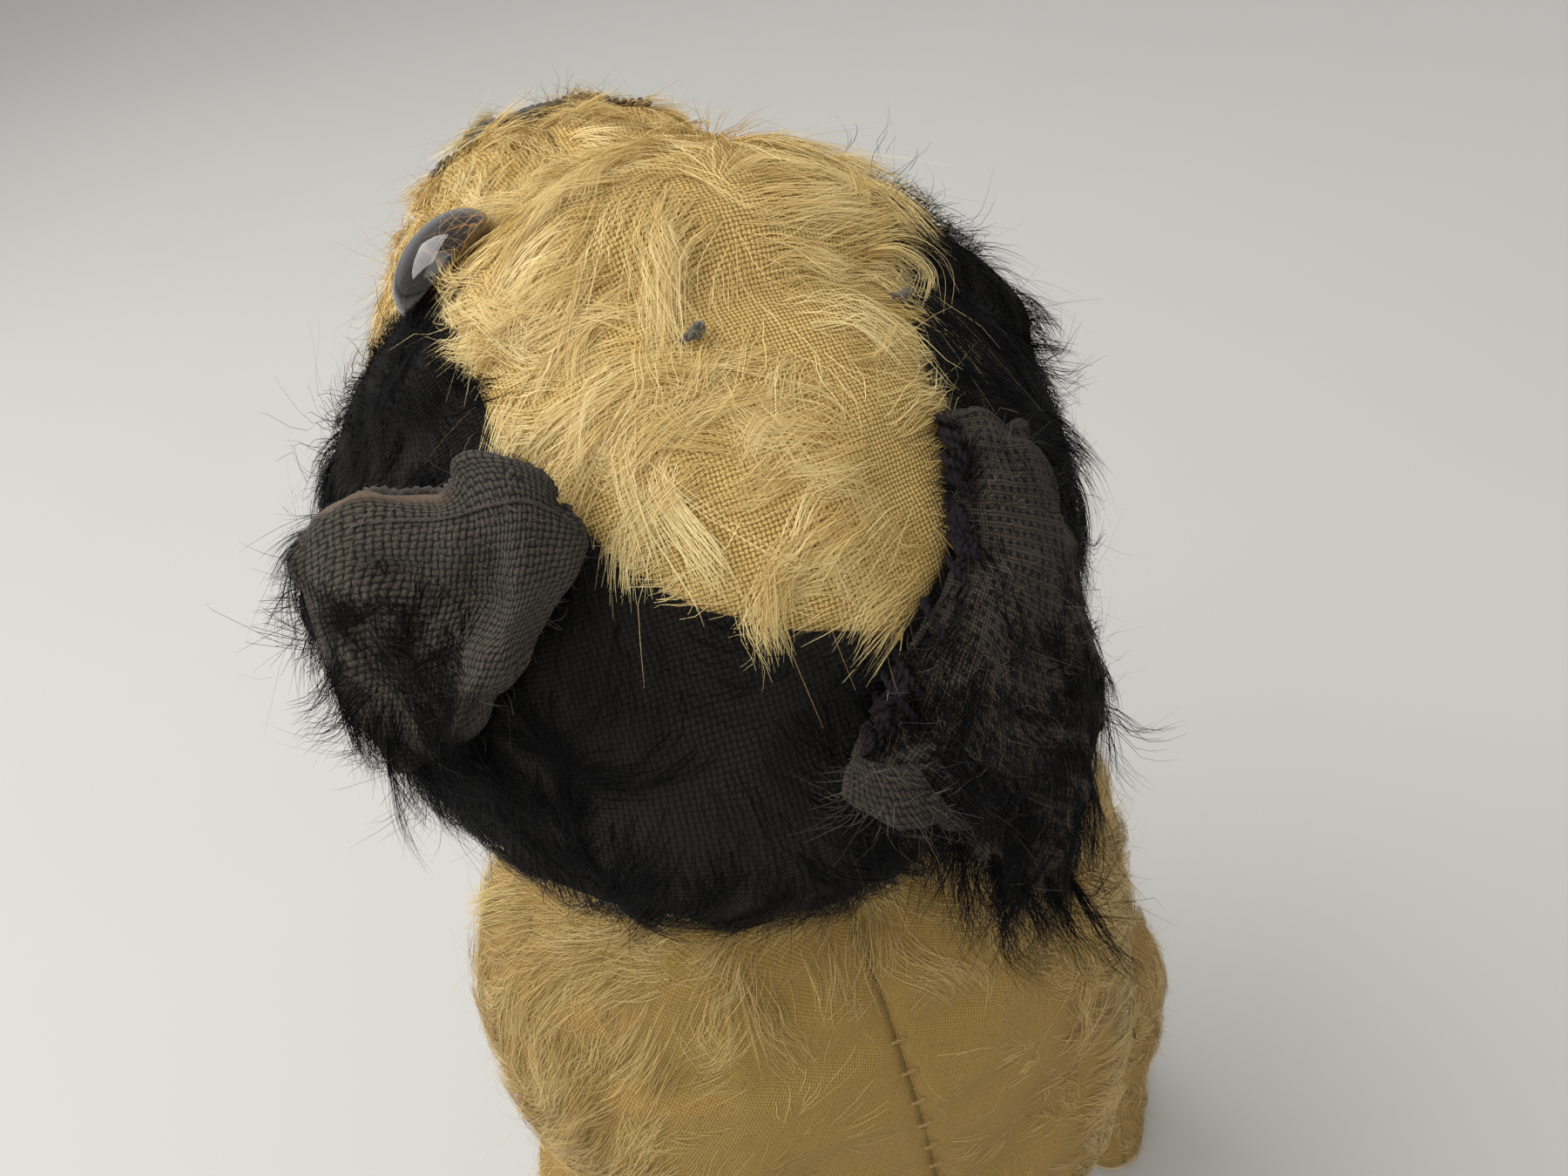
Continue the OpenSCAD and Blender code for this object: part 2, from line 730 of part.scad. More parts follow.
module neck_pin() {
  up() color(steel) translate([0, 0, torso_top]) rotate([0, -90, 0])
    cotter(joint_gap + disc_thickness + washer_thickness + 0.2, body_pin_tail);
}
module torso_left() {
  up() color(gold) difference() {
    torso_cover(1);
    at_shoulder() pin_hole();
    at_hip() pin_hole();
  }
}
module torso_right() {
  up() color(gold) difference() {
    torso_cover(-1);
    mirror([1, 0, 0]) at_shoulder() pin_hole();
    mirror([1, 0, 0]) at_hip() pin_hole();
  }
}
module torso_stuffing() {
  up() color(straw) stuffing_torso();
}
module back_stitching() {
  up() color(felt) for (k = [0:8]) {
    z = 62 + 6.5 * k;
    y = lookup(z, [for (r = torso_rings) [r[0], r[2] * torso_depth / 109 + r[3]]]) + 0.7;
    translate([-2.6, y, z]) rotate([0, 90, 0])
      cylinder(d = 0.9, h = 5.2, $fn = 12);
  }
}
module neck_disc_body() {
  up() color(board) translate([0, 0, torso_top]) rotate([0, -90, 0])
    disc(neck_disc_diameter - 4, body_disc_x);
}
module neck_washer_body() {
  up() color(steel) translate([0, 0, torso_top]) rotate([0, -90, 0]) washer(body_washer_x);
}
module shoulder_discs_body() {
  up() color(board) both() at_shoulder() disc(disc_diameter, body_disc_x);
}
module hip_discs_body() {
  up() color(board) both() at_hip() disc(disc_diameter, body_disc_x);
}
module body_washers() {
  up() color(steel) both() {
    at_shoulder() washer(body_washer_x);
    at_hip() washer(body_washer_x);
  }
}
module growler_box() {
  up() color(board) translate([0, -4, 40]) difference() {
    cylinder(d = 36, h = 44);
    translate([0, 0, 2]) cylinder(d = 32, h = 46);
  }
}
module growler_cap() {
  up() color(steel) translate([0, -4, 84.1]) difference() {
    cylinder(d = 36, h = 2);
    for (a = [0:45:315]) rotate([0, 0, a]) translate([10, 0, -1]) cylinder(d = 3, h = 4);
    translate([0, 0, -1]) cylinder(d = 4, h = 4);
  }
}

module limb_disc() {
  disc(disc_diameter, limb_disc_x);
}
module limb_washer() {
  washer(limb_washer_x);
}
module limb_pin() {
  cotter(limb_pin_head, body_pin_tail);
}

module arm_left_outer() {
  up() color(gold) arm_half(1, false);
}
module arm_left_inner() {
  up() color(gold) arm_half(1, true);
}
module arm_left_pad() {
  up() color(felt) palm(1);
}
module arm_left_stuffing() {
  up() color(straw) arm_pose(1) limb_stuffing(arm_shape, arm_scale, true);
}
module arm_left_disc() {
  up() color(board) arm_pose(1) limb_disc();
}
module arm_left_washer() {
  up() color(steel) arm_pose(1) limb_washer();
}
module arm_left_pin() {
  up() color(steel) arm_pose(1) limb_pin();
}
module arm_right_outer() {
  up() color(gold) arm_half(-1, false);
}
module arm_right_inner() {
  up() color(gold) arm_half(-1, true);
}
module arm_right_pad() {
  up() color(felt) palm(-1);
}
module arm_right_stuffing() {
  up() color(straw) arm_pose(-1) limb_stuffing(arm_shape, arm_scale, true);
}
module arm_right_disc() {
  up() color(board) arm_pose(-1) limb_disc();
}
module arm_right_washer() {
  up() color(steel) arm_pose(-1) limb_washer();
}
module arm_right_pin() {
  up() color(steel) arm_pose(-1) limb_pin();
}
module leg_left_outer() {
  up() color(gold) leg_half(1, false);
}
module leg_left_inner() {
  up() color(gold) leg_half(1, true);
}
module leg_left_sole() {
  up() color(felt) sole(1);
}
module leg_left_stuffing() {
  up() color(straw) leg_pose(1) limb_stuffing(leg_shape, leg_scale, false);
}
module leg_left_disc() {
  up() color(board) leg_pose(1) limb_disc();
}
module leg_left_washer() {
  up() color(steel) leg_pose(1) limb_washer();
}
module leg_left_pin() {
  up() color(steel) leg_pose(1) limb_pin();
}
module leg_right_outer() {
  up() color(gold) leg_half(-1, false);
}
module leg_right_inner() {
  up() color(gold) leg_half(-1, true);
}
module leg_right_sole() {
  up() color(felt) sole(-1);
}
module leg_right_stuffing() {
  up() color(straw) leg_pose(-1) limb_stuffing(leg_shape, leg_scale, false);
}
module leg_right_disc() {
  up() color(board) leg_pose(-1) limb_disc();
}
module leg_right_washer() {
  up() color(steel) leg_pose(-1) limb_washer();
}
module leg_right_pin() {
  up() color(steel) leg_pose(-1) limb_pin();
}

head_gusset();
muzzle_left();
muzzle_right();
head_side_left();
head_side_right();
head_stuffing();
ear_left_back();
ear_left_lining();
ear_right_back();
ear_right_lining();
ear_right_stitching();
eye_left();
eye_right();
eye_wires();
nose_stitching();
mouth_stitching();
thread_knots();
neck_disc_head();
neck_washer_head();
neck_pin();
torso_left();
torso_right();
torso_stuffing();
back_stitching();
neck_disc_body();
neck_washer_body();
shoulder_discs_body();
hip_discs_body();
body_washers();
growler_box();
growler_cap();
arm_left_outer();
arm_left_inner();
arm_left_pad();
arm_left_stuffing();
arm_left_disc();
arm_left_washer();
arm_left_pin();
arm_right_outer();
arm_right_inner();
arm_right_pad();
arm_right_stuffing();
arm_right_disc();
arm_right_washer();
arm_right_pin();
leg_left_outer();
leg_left_inner();
leg_left_sole();
leg_left_stuffing();
leg_left_disc();
leg_left_washer();
leg_left_pin();
leg_right_outer();
leg_right_inner();
leg_right_sole();
leg_right_stuffing();
leg_right_disc();
leg_right_washer();
leg_right_pin();
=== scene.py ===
import math

import bmesh
import bpy
import numpy as np
from mathutils import Matrix, Vector
from mathutils.bvhtree import BVHTree
from mathutils.kdtree import KDTree


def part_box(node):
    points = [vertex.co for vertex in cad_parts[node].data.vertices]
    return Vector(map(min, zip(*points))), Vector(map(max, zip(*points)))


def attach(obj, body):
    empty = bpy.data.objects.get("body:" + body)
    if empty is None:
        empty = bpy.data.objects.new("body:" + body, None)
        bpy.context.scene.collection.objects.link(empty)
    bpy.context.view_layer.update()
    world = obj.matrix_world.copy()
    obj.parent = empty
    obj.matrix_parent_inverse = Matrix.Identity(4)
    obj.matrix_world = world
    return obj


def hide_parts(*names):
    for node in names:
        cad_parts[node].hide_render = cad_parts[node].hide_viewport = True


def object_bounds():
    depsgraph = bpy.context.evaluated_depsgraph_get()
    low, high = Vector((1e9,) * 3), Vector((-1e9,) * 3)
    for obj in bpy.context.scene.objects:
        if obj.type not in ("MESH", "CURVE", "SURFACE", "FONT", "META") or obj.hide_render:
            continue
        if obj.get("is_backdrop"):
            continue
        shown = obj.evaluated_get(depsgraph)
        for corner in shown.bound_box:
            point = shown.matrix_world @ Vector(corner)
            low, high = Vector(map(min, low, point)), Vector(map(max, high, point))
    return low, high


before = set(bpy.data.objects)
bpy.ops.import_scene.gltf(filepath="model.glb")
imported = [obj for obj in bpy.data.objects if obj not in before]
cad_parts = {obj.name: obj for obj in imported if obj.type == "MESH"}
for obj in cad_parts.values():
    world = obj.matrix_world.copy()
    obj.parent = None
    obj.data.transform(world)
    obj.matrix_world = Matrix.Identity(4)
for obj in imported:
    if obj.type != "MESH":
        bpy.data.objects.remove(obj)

cad_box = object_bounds()
MM = 0.001
SCENE = bpy.context.scene
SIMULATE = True

# ---- the head's own frame, in degrees: phi is 0 at the nose, 90 at the crown and 180 at the back,
# and s leans to the bear's left ----

HEAD_CENTRE = np.array((0.0, 4.5, 259.0)) * MM
HEAD_PITCH = math.radians(31)
BODY_AXIS = np.array((0.0, 8.2)) * MM


def pitched(vectors, angle):
    x, y, z = np.moveaxis(np.asarray(vectors, float), -1, 0)
    c, n = math.cos(angle), math.sin(angle)
    return np.stack([x, y * c - z * n, y * n + z * c], -1)


def head_world(vectors):
    return pitched(vectors, -HEAD_PITCH)


def head_angles(points):
    """phi and s of points, in degrees."""
    q = pitched(points - HEAD_CENTRE, HEAD_PITCH)
    r = np.linalg.norm(q, axis=-1)
    phi = np.degrees(np.arctan2(q[..., 2], -q[..., 1])) % 360
    phi = np.where(phi > 270, phi - 360, phi)
    return phi, np.degrees(np.arcsin(np.clip(q[..., 0] / r, -1, 1)))


def head_ray(phi, s):
    """The direction from the head's centre towards phi and s."""
    p, t = np.radians(phi), np.radians(s)
    return head_world(np.stack([np.sin(t), -np.cos(t) * np.cos(p), np.cos(t) * np.sin(p)], -1))


def unit(v):
    return v / np.maximum(np.linalg.norm(v, axis=-1, keepdims=True), 1e-12)


def smooth(x, lo, hi):
    """Runs smoothly from 0 at lo to 1 at hi."""
    t = np.clip((np.asarray(x, float) - lo) / (hi - lo), 0, 1)
    return t * t * (3 - 2 * t)


def waves(points, size, seed):
    """Smooth values from -1 to 1 that vary over about the given size."""
    rng = np.random.default_rng(seed)
    total = 0
    for k in range(5):
        d = unit(rng.normal(size=3))
        f = 2 * math.pi / (size * rng.uniform(0.75, 1.5))
        total = total + np.sin(points @ d * f + rng.uniform(0, 6.28) + 0.8 * total)
    return np.clip(total / 2.6, -1, 1)


# ---- meshes ----

def new_object(name, mesh):
    ob = bpy.data.objects.new(name, mesh)
    SCENE.collection.objects.link(ob)
    return ob


def mesh_object(name, vertices, faces):
    """An object from vertex and face arrays; every face has the same number of corners."""
    faces = np.asarray(faces, np.int32)
    vertices = np.asarray(vertices, np.float32)
    me = bpy.data.meshes.new(name)
    me.vertices.add(len(vertices))
    me.vertices.foreach_set("co", vertices.ravel())
    me.loops.add(faces.size)
    me.loops.foreach_set("vertex_index", faces.ravel())
    me.polygons.add(len(faces))
    k = faces.shape[1]
    me.polygons.foreach_set("loop_start", np.arange(len(faces), dtype=np.int32) * k)
    me.polygons.foreach_set("loop_total", np.full(len(faces), k, np.int32))
    me.update(calc_edges=True)
    me.shade_smooth()
    return new_object(name, me)


def co_of(me):
    co = np.empty(len(me.vertices) * 3, np.float32)
    me.vertices.foreach_get("co", co)
    return co.reshape(-1, 3).astype(float)


def normals_of(me):
    n = np.empty(len(me.vertices) * 3, np.float32)
    me.vertices.foreach_get("normal", n)
    return n.reshape(-1, 3).astype(float)


def set_co(me, co):
    me.vertices.foreach_set("co", np.asarray(co, np.float32).ravel())
    me.update()


def bake_modifiers(ob):
    dg = bpy.context.evaluated_depsgraph_get()
    me = bpy.data.meshes.new_from_object(ob.evaluated_get(dg))
    ob.modifiers.clear()
    old = ob.data
    ob.data = me
    bpy.data.meshes.remove(old)
    me.shade_smooth()
    return ob


def float_attribute(me, name, values):
    data = me.attributes.new(name, "FLOAT", "POINT").data
    data.foreach_set("value", np.asarray(values, np.float32))


def cloth_attribute(me, values):
    """Where each point lies on the flat cloth, for the weave."""
    data = me.attributes.new("cloth", "FLOAT_VECTOR", "POINT").data
    data.foreach_set("vector", np.asarray(values, np.float32).ravel())


def surface_tree(me):
    return BVHTree.FromPolygons([v.co.copy() for v in me.vertices],
                                [tuple(p.vertices) for p in me.polygons])


def node_tree(name):
    return surface_tree(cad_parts[name].data)


def box_of(node):
    """The low and high corners of a CAD node."""
    return np.array(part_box(node))


WELD = 0.06 * MM
OUTER_GAP = 1.8 * MM
SEAM_STEP = 0.5 * MM


def closed_shell(name, panels, core):
    """The outer face of the panels as one closed mesh, each face marked with its panel."""
    inner = node_tree(core)
    bm = bmesh.new()
    for k, panel in enumerate(panels):
        start = len(bm.faces)
        bm.from_mesh(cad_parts[panel].data)
        bm.faces.ensure_lookup_table()
        for f in bm.faces[start:]:
            f.material_index = k
    bmesh.ops.remove_doubles(bm, verts=bm.verts, dist=WELD)
    drop = []
    for f in bm.faces:
        c = f.calc_center_median()
        hit, _, _, gap = inner.find_nearest(c)
        outward = f.normal.dot((c - hit).normalized())
        if outward < (0.35 if gap < OUTER_GAP else -0.1):
            drop.append(f)
    bmesh.ops.delete(bm, geom=drop, context="FACES")
    bmesh.ops.delete(bm, geom=[v for v in bm.verts if not v.link_faces], context="VERTS")
    seams = []
    for e in bm.edges:
        marks = {f.material_index for f in e.link_faces}
        if len(marks) == 2:
            a, b = (np.array(v.co) for v in e.verts)
            steps = max(2, int(np.linalg.norm(b - a) / SEAM_STEP))
            seams += [a + (b - a) * t / steps for t in range(steps + 1)]
    bmesh.ops.holes_fill(bm, edges=[e for e in bm.edges if e.is_boundary], sides=0)
    bmesh.ops.triangulate(bm, faces=bm.faces)
    bmesh.ops.recalc_face_normals(bm, faces=bm.faces)
    me = bpy.data.meshes.new(name)
    bm.to_mesh(me)
    bm.free()
    return new_object(name, me), np.array(seams)


def tree_of(points):
    tree = KDTree(len(points))
    for i, p in enumerate(points):
        tree.insert(p, i)
    tree.balance()
    return tree


def nearest(tree, points):
    """Index of and distance to the nearest stored point, for each point."""
    found = [tree.find(p) for p in points]
    return np.array([f[1] for f in found]), np.array([f[2] for f in found])


def make_active(ob):
    bpy.ops.object.select_all(action="DESELECT")
    ob.select_set(True)
    bpy.context.view_layer.objects.active = ob


def voxel_remesh(ob, size):
    ob.data.remesh_voxel_size = size
    make_active(ob)
    bpy.ops.object.voxel_remesh()


CLOTH = {"quality": 4, "mass": 0.15, "tension_stiffness": 12, "compression_stiffness": 12,
         "shear_stiffness": 4, "bending_stiffness": 0.4, "shrink_min": -0.035,
         "use_pressure": True, "uniform_pressure_force": 4, "vertex_group_mass": "held"}
CLOTH_FRAMES = 20


def blow_up(ob, held, puff):
    """Simulates the form as cloth under pressure; it moves puff mm at most, less where held."""
    start = co_of(ob.data)
    group = ob.vertex_groups.new(name="held")
    for i, w in enumerate(held):
        if w > 0.02:
            group.add([i], float(w), "REPLACE")
    mod = ob.modifiers.new("Cloth", "CLOTH")
    for key, value in CLOTH.items():
        setattr(mod.settings, key, value)
    mod.settings.effector_weights.gravity = 0
    mod.collision_settings.use_collision = False
    for f in range(CLOTH_FRAMES):
        SCENE.frame_set(f + 1)
    shown = ob.evaluated_get(bpy.context.evaluated_depsgraph_get())
    move = co_of(shown.to_mesh()) - start
    shown.to_mesh_clear()
    ob.modifiers.clear()
    SCENE.frame_set(1)
    size = np.linalg.norm(move, axis=1, keepdims=True)
    limit = puff * MM * (1 - 0.9 * held[:, None])
    set_co(ob.data, start + move * np.minimum(1, limit / np.maximum(size, 1e-9)))


def stuffed(name, panels, core, pin_low, pin_high, puff=1.8, swell=None):
    """A stuffed form: the panels' outside, remeshed, blown up as cloth and held in at seams
    and in the pin box. With it come the seam points and the marks of the panels."""
    ob, seams = closed_shell(name, panels, core)
    marks = surface_tree(ob.data), [p.material_index for p in ob.data.polygons]
    voxel_remesh(ob, 3.2 * MM)
    co = co_of(ob.data)
    _, gap = nearest(tree_of(seams), co)
    if swell:
        set_co(ob.data, co + unit(normals_of(ob.data)) * swell(co)[:, None] * MM)
        co = co_of(ob.data)
    pinned = np.all((co > pin_low) & (co < pin_high), axis=1)
    held = np.where(pinned, 1, 1 - smooth(gap, 1.5 * MM, 5 * MM))
    if SIMULATE:
        blow_up(ob, held, puff)
    ob.modifiers.new("Subdivision", "SUBSURF").levels = 1
    bake_modifiers(ob)
    return ob, seams, marks


def cut_panels(ob, seams, marks, names, tuck=0.7):
    """Splits a stuffed form into its panels along clean seam lines, which tuck mm draws in."""
    me = ob.data
    co, normal = co_of(me), normals_of(me)
    tree, labels = marks
    centres = np.array([p.center[:] for p in me.polygons])
    label = np.array([labels[tree.find_nearest(c)[2]] for c in centres])
    faces = np.array([p.vertices[:] for p in me.polygons])
    low = np.full(len(co), 99)
    high = np.full(len(co), -1)
    for k in range(4):
        np.minimum.at(low, faces[:, k], label)
        np.maximum.at(high, faces[:, k], label)
    edge = np.where(low != high)[0]
    index, _ = nearest(tree_of(seams), co[edge])
    to = seams[index] - co[edge]
    flat = to - normal[edge] * np.sum(to * normal[edge], axis=1, keepdims=True)
    co[edge] += flat * (np.linalg.norm(flat, axis=1) < 2.2 * MM)[:, None]
    _, gap = nearest(tree_of(co[edge]), co)
    co -= normal * (tuck * MM * np.exp(-(gap / (1.7 * MM)) ** 2))[:, None]
    panels = []
    for k, name in enumerate(names):
        own = faces[label == k]
        used, inverse = np.unique(own, return_inverse=True)
        panels.append(mesh_object(name, co[used], inverse.reshape(own.shape)))
    bpy.data.objects.remove(ob)
    return panels


def thicken(ob, thickness=1.2):
    """Gives a cloth its thickness in mm, inwards."""
    mod = ob.modifiers.new("Solidify", "SOLIDIFY")
    mod.thickness = thickness * MM
    mod.offset = -1
    return bake_modifiers(ob)


# ---- materials ----

class Nodes:
    """A material's node tree, and short ways to add to it."""

    def __init__(self, name):
        self.mat = bpy.data.materials.new(name)
        self.mat.use_nodes = True
        self.tree = self.mat.node_tree
        self.main = self.tree.nodes["Principled BSDF"]

    def add(self, kind, **inputs):
        """A new shader node; each value goes to the input, or else the property, of that name."""
        n = self.tree.nodes.new("ShaderNode" + kind)
        for k, v in inputs.items():
            key = k.replace("_", " ")
            if key in n.inputs:
                self.put(n.inputs[key], v)
            else:
                setattr(n, k, v)
        return n

    def put(self, socket, value):
        if isinstance(value, bpy.types.NodeSocket):
            self.tree.links.new(value, socket)
        else:
            socket.default_value = value

    def math(self, operation, *values):
        n = self.add("Math", operation=operation)
        for socket, value in zip(n.inputs, values):
            self.put(socket, value)
        return n.outputs[0]

    def times(self, a, b):
        return self.math("MULTIPLY", a, b)

    def plus(self, a, b):
        return self.math("ADD", a, b)

    def mix(self, fac, a, b):
        n = self.add("Mix", data_type="RGBA")
        self.put(n.inputs[0], fac)
        for k, colour in ((6, a), (7, b)):
            self.put(n.inputs[k], (*colour, 1) if isinstance(colour, tuple) else colour)
        return n.outputs[2]

    def noise(self, scale, detail=3.0, rough=0.55, vector=None):
        n = self.add("TexNoise", Scale=scale, Detail=detail, Roughness=rough)
        self.put(n.inputs["Vector"], self.place() if vector is None else vector)
        return n.outputs["Fac"]

    def place(self):
        return self.add("TexCoord").outputs["Object"]

    def attribute(self, name, output="Fac"):
        return self.add("Attribute", attribute_name=name).outputs[output]

    def beats(self, x, rate=1.0):
        """Rises and falls between 0 and 1, once for each step of x."""
        return self.math("ABSOLUTE", self.math("SINE", self.times(x, math.pi * rate)))

    def ramp(self, fac, stops):
        n = self.add("ValToRGB")
        while len(n.color_ramp.elements) < len(stops):
            n.color_ramp.elements.new(0.5)
        for stop, (position, colour) in zip(n.color_ramp.elements, stops):
            stop.position = position
            stop.color = (*colour, 1)
        self.put(n.inputs[0], fac)
        return n.outputs["Color"]

    def bump(self, height, strength, distance):
        n = self.add("Bump", Strength=strength, Distance=distance)
        self.put(n.inputs["Height"], height)
        self.put(self.main.inputs["Normal"], n.outputs["Normal"])

    def finish(self, **values):
        for k, v in values.items():
            self.put(self.main.inputs[k.replace("_", " ")], v)
        return self.mat


BLACK, WHITE = (0, 0, 0), (1, 1, 1)


def woven(name, thread, gap, worn, pitch, strength, sheen, dots=None, fold=None):
    """Plain-woven cloth: over-and-under threads at the given pitch in mm. dots adds rows of pile
    holes, and fold is the colour of the matted stretch that the fold attribute marks."""
    n = Nodes(name)
    sep = n.add("SeparateXYZ")
    n.put(sep.inputs[0], n.attribute("cloth", "Vector"))
    wobble = n.noise(260.0, 2.0)
    slub = n.noise(520.0, 3.0, 0.7)
    fuzz = n.noise(1700.0, 3.0)
    x, y = (n.plus(n.math("DIVIDE", sep.outputs[k], pitch * MM), n.times(uneven, by))
            for k, uneven, by in ((0, wobble, 1.3), (1, slub, 0.8)))
    a, b = n.beats(x), n.beats(y)
    over, under = (n.times(p, n.plus(n.times(q, 0.45), 0.55))
                   for p, q in ((a, b), (b, a)))
    odd = n.math("PINGPONG", n.plus(n.math("FLOOR", x), n.math("FLOOR", y)), 1.0)
    height = n.plus(n.times(over, odd),
                    n.times(under, n.math("SUBTRACT", 1.0, odd)))
    if fold:
        flat = n.attribute("fold")
        height = n.times(height, n.math("SUBTRACT", 1.0, flat))
    tone = n.mix(n.noise(60.0, 4.0, 0.6), thread, worn)
    tone = n.mix(n.times(slub, 0.6), tone, gap)
    # Where the weave lies low the colour goes to the gap colour: painted shade in the hollows between the
    # threads.
    colour = n.mix(n.ramp(height, [(0.22, BLACK), (0.68, WHITE)]), gap, tone)
    if fold:
        colour = n.mix(flat, colour, n.mix(fuzz, (0.045, 0.031, 0.021), fold))
    if dots:
        row, col = n.beats(x, pitch / dots[0]), n.beats(y, pitch / dots[1])
        hole = n.ramp(n.times(row, col), [(dots[2], BLACK), (dots[2] + 0.06, WHITE)])
        colour = n.mix(hole, colour, dots[3])
    n.bump(n.plus(height, n.times(fuzz, 0.35)), strength, 0.35 * MM)
    return n.finish(Base_Color=colour, Roughness=0.88, Sheen_Weight=sheen, Specular_IOR_Level=0.2)


def hairy(name, root, middle, tip, rough=0.42, specular=0.5):
    """Mohair: dark at the root and paler at the tip, with each lock a little different."""
    n = Nodes(name)
    tone = n.plus(n.attribute("shade"), n.times(n.noise(45.0), 0.25))
    colour = n.ramp(tone, [(0.12, root), (0.5, middle), (1.0, tip)])
    return n.finish(Base_Color=colour, Roughness=rough, Specular_IOR_Level=specular)


def threadlike(name, dark, light, sheen=0.2):
    n = Nodes(name)
    fibre = n.noise(900.0, 4.0, 0.7)
    n.bump(fibre, 0.5, 0.2 * MM)
    return n.finish(Base_Color=n.mix(fibre, dark, light), Roughness=0.7, Sheen_Weight=sheen,
                    Specular_IOR_Level=0.12)


def felt(name, base, worn):
    n = Nodes(name)
    fibre = n.noise(1500.0, 5.0, 0.75)
    stain = n.noise(55.0, 4.0)
    colour = n.mix(n.times(fibre, 0.6), n.mix(stain, base, worn), worn)
    n.bump(n.plus(fibre, n.noise(320.0)), 0.6, 0.4 * MM)
    return n.finish(Base_Color=colour, Roughness=0.95, Sheen_Weight=0.35)


def hard(name, dark, light, scale, rough, metal, bump, stretch=(1, 1, 1)):
    n = Nodes(name)
    m = n.add("Mapping", Scale=stretch)
    n.put(m.inputs["Vector"], n.place())
    grain = n.noise(scale, 5.0, 0.6, m.outputs["Vector"])
    n.bump(grain, bump, 0.2 * MM)
    return n.finish(Base_Color=n.mix(grain, dark, light), Roughness=rough, Metallic=metal)


def glass_brown():
    n = Nodes("eye_glass")
    tint = n.mix(n.noise(180.0), (0.50, 0.30, 0.17), (0.62, 0.40, 0.24))
    return n.finish(Base_Color=tint, Roughness=0.03, Transmission_Weight=1.0, IOR=1.5, Coat_Weight=0.5)


def eye_paint():
    """Painted back of a glass eye: a black pupil in a brown ring."""
    n = Nodes("eye_paint")
    streak = n.noise(900.0, 4.0, 0.7)
    tone = n.plus(n.attribute("ring"), n.times(n.math("SUBTRACT", streak, 0.5), 0.08))
    colour = n.ramp(tone, [(0.0, (0.003, 0.003, 0.004)), (0.60, (0.006, 0.004, 0.004)),
                           (0.68, (0.075, 0.024, 0.008)), (0.88, (0.16, 0.06, 0.02)),
                           (1.0, (0.05, 0.02, 0.01))])
    return n.finish(Base_Color=colour, Roughness=0.35)


# Cloth: the threads' colour, the gaps' colour (painted shade in the hollows between the threads), the
# worn colour, then the pitch, bump and sheen.
GOLD_CLOTH = woven("gold_cloth", (0.78, 0.54, 0.17), (0.20, 0.115, 0.03), (0.82, 0.59, 0.22),
                   0.56, 0.6, 0.05)
# The body's cloth: a darker copy of the gold cloth; part of that darkness is painted shade on the body.
BODY_CLOTH = woven("body_cloth", (0.44, 0.285, 0.084), (0.26, 0.16, 0.043), (0.40, 0.26, 0.078),
                   0.5, 0.6, 0.03, dots=(1.9, 1.35, 0.92, (0.24, 0.148, 0.040)))
BLACK_CLOTH = woven("black_cloth", (0.0085, 0.0075, 0.006), (0.0012, 0.0012, 0.0012),
                    (0.020, 0.016, 0.012), 0.7, 0.9, 0.02)
EAR_CLOTH = woven("ear_cloth", (0.066, 0.056, 0.040), (0.004, 0.003, 0.003), (0.105, 0.084, 0.060),
                  0.80, 1.0, 0.08, fold=(0.175, 0.118, 0.080))
FOLD_CLOTH = woven("fold_cloth", (0.040, 0.032, 0.023), (0.003, 0.003, 0.003), (0.062, 0.046, 0.032),
                   0.75, 1.0, 0.05)
DOTTED_CLOTH = woven("dotted_cloth", (0.052, 0.041, 0.031), (0.007, 0.006, 0.005),
                     (0.098, 0.070, 0.049), 0.55, 0.8, 0.04,
                     dots=(2.1, 1.5, 0.68, (0.003, 0.003, 0.003)))
# Hair: the colours of root, middle and tip.
GOLD_HAIR = hairy("gold_mohair", (0.44, 0.29, 0.080), (0.68, 0.485, 0.168), (0.88, 0.725, 0.355))
# The body's mohair: a darker copy of the gold mohair; part of that darkness is painted shade on the body.
BODY_HAIR = hairy("body_mohair", (0.27, 0.165, 0.042), (0.43, 0.285, 0.088), (0.61, 0.455, 0.18))
BLACK_HAIR = hairy("black_mohair", (0.001, 0.001, 0.001), (0.002, 0.002, 0.0023),
                   (0.006, 0.006, 0.007), 0.5, 0.05)
FRIZZ = hairy("ear_frizz", (0.02, 0.017, 0.014), (0.07, 0.058, 0.047), (0.15, 0.125, 0.10), 0.6, 0.2)
DARK_THREAD = threadlike("dark_thread", (0.003, 0.0022, 0.003), (0.016, 0.0105, 0.0145), sheen=0.03)
HEM_THREAD = threadlike("hem_thread", (0.016, 0.013, 0.011), (0.065, 0.050, 0.040))
NOSE_THREAD = threadlike("nose_thread", (0.010, 0.008, 0.007), (0.045, 0.034, 0.028))
KNOT_THREAD = threadlike("knot_thread", (0.045, 0.040, 0.030), (0.20, 0.175, 0.13))
GOLD_THREAD = threadlike("gold_thread", (0.22, 0.14, 0.045), (0.42, 0.28, 0.10))
PAD_FELT = felt("pad_felt", (0.46, 0.33, 0.18), (0.56, 0.44, 0.27))
EYE_GLASS = glass_brown()
EYE_PAINT = eye_paint()
STRAW = hard("wood_wool", (0.50, 0.36, 0.16), (0.80, 0.66, 0.40), 700.0, 0.8, 0, 0.6, (1, 6, 1))
BOARD = hard("fibreboard", (0.20, 0.14, 0.08), (0.34, 0.25, 0.16), 900.0, 0.75, 0, 0.3)
CARD = hard("rolled_card", (0.34, 0.25, 0.15), (0.52, 0.41, 0.27), 400.0, 0.85, 0, 0.3, (1, 1, 8))
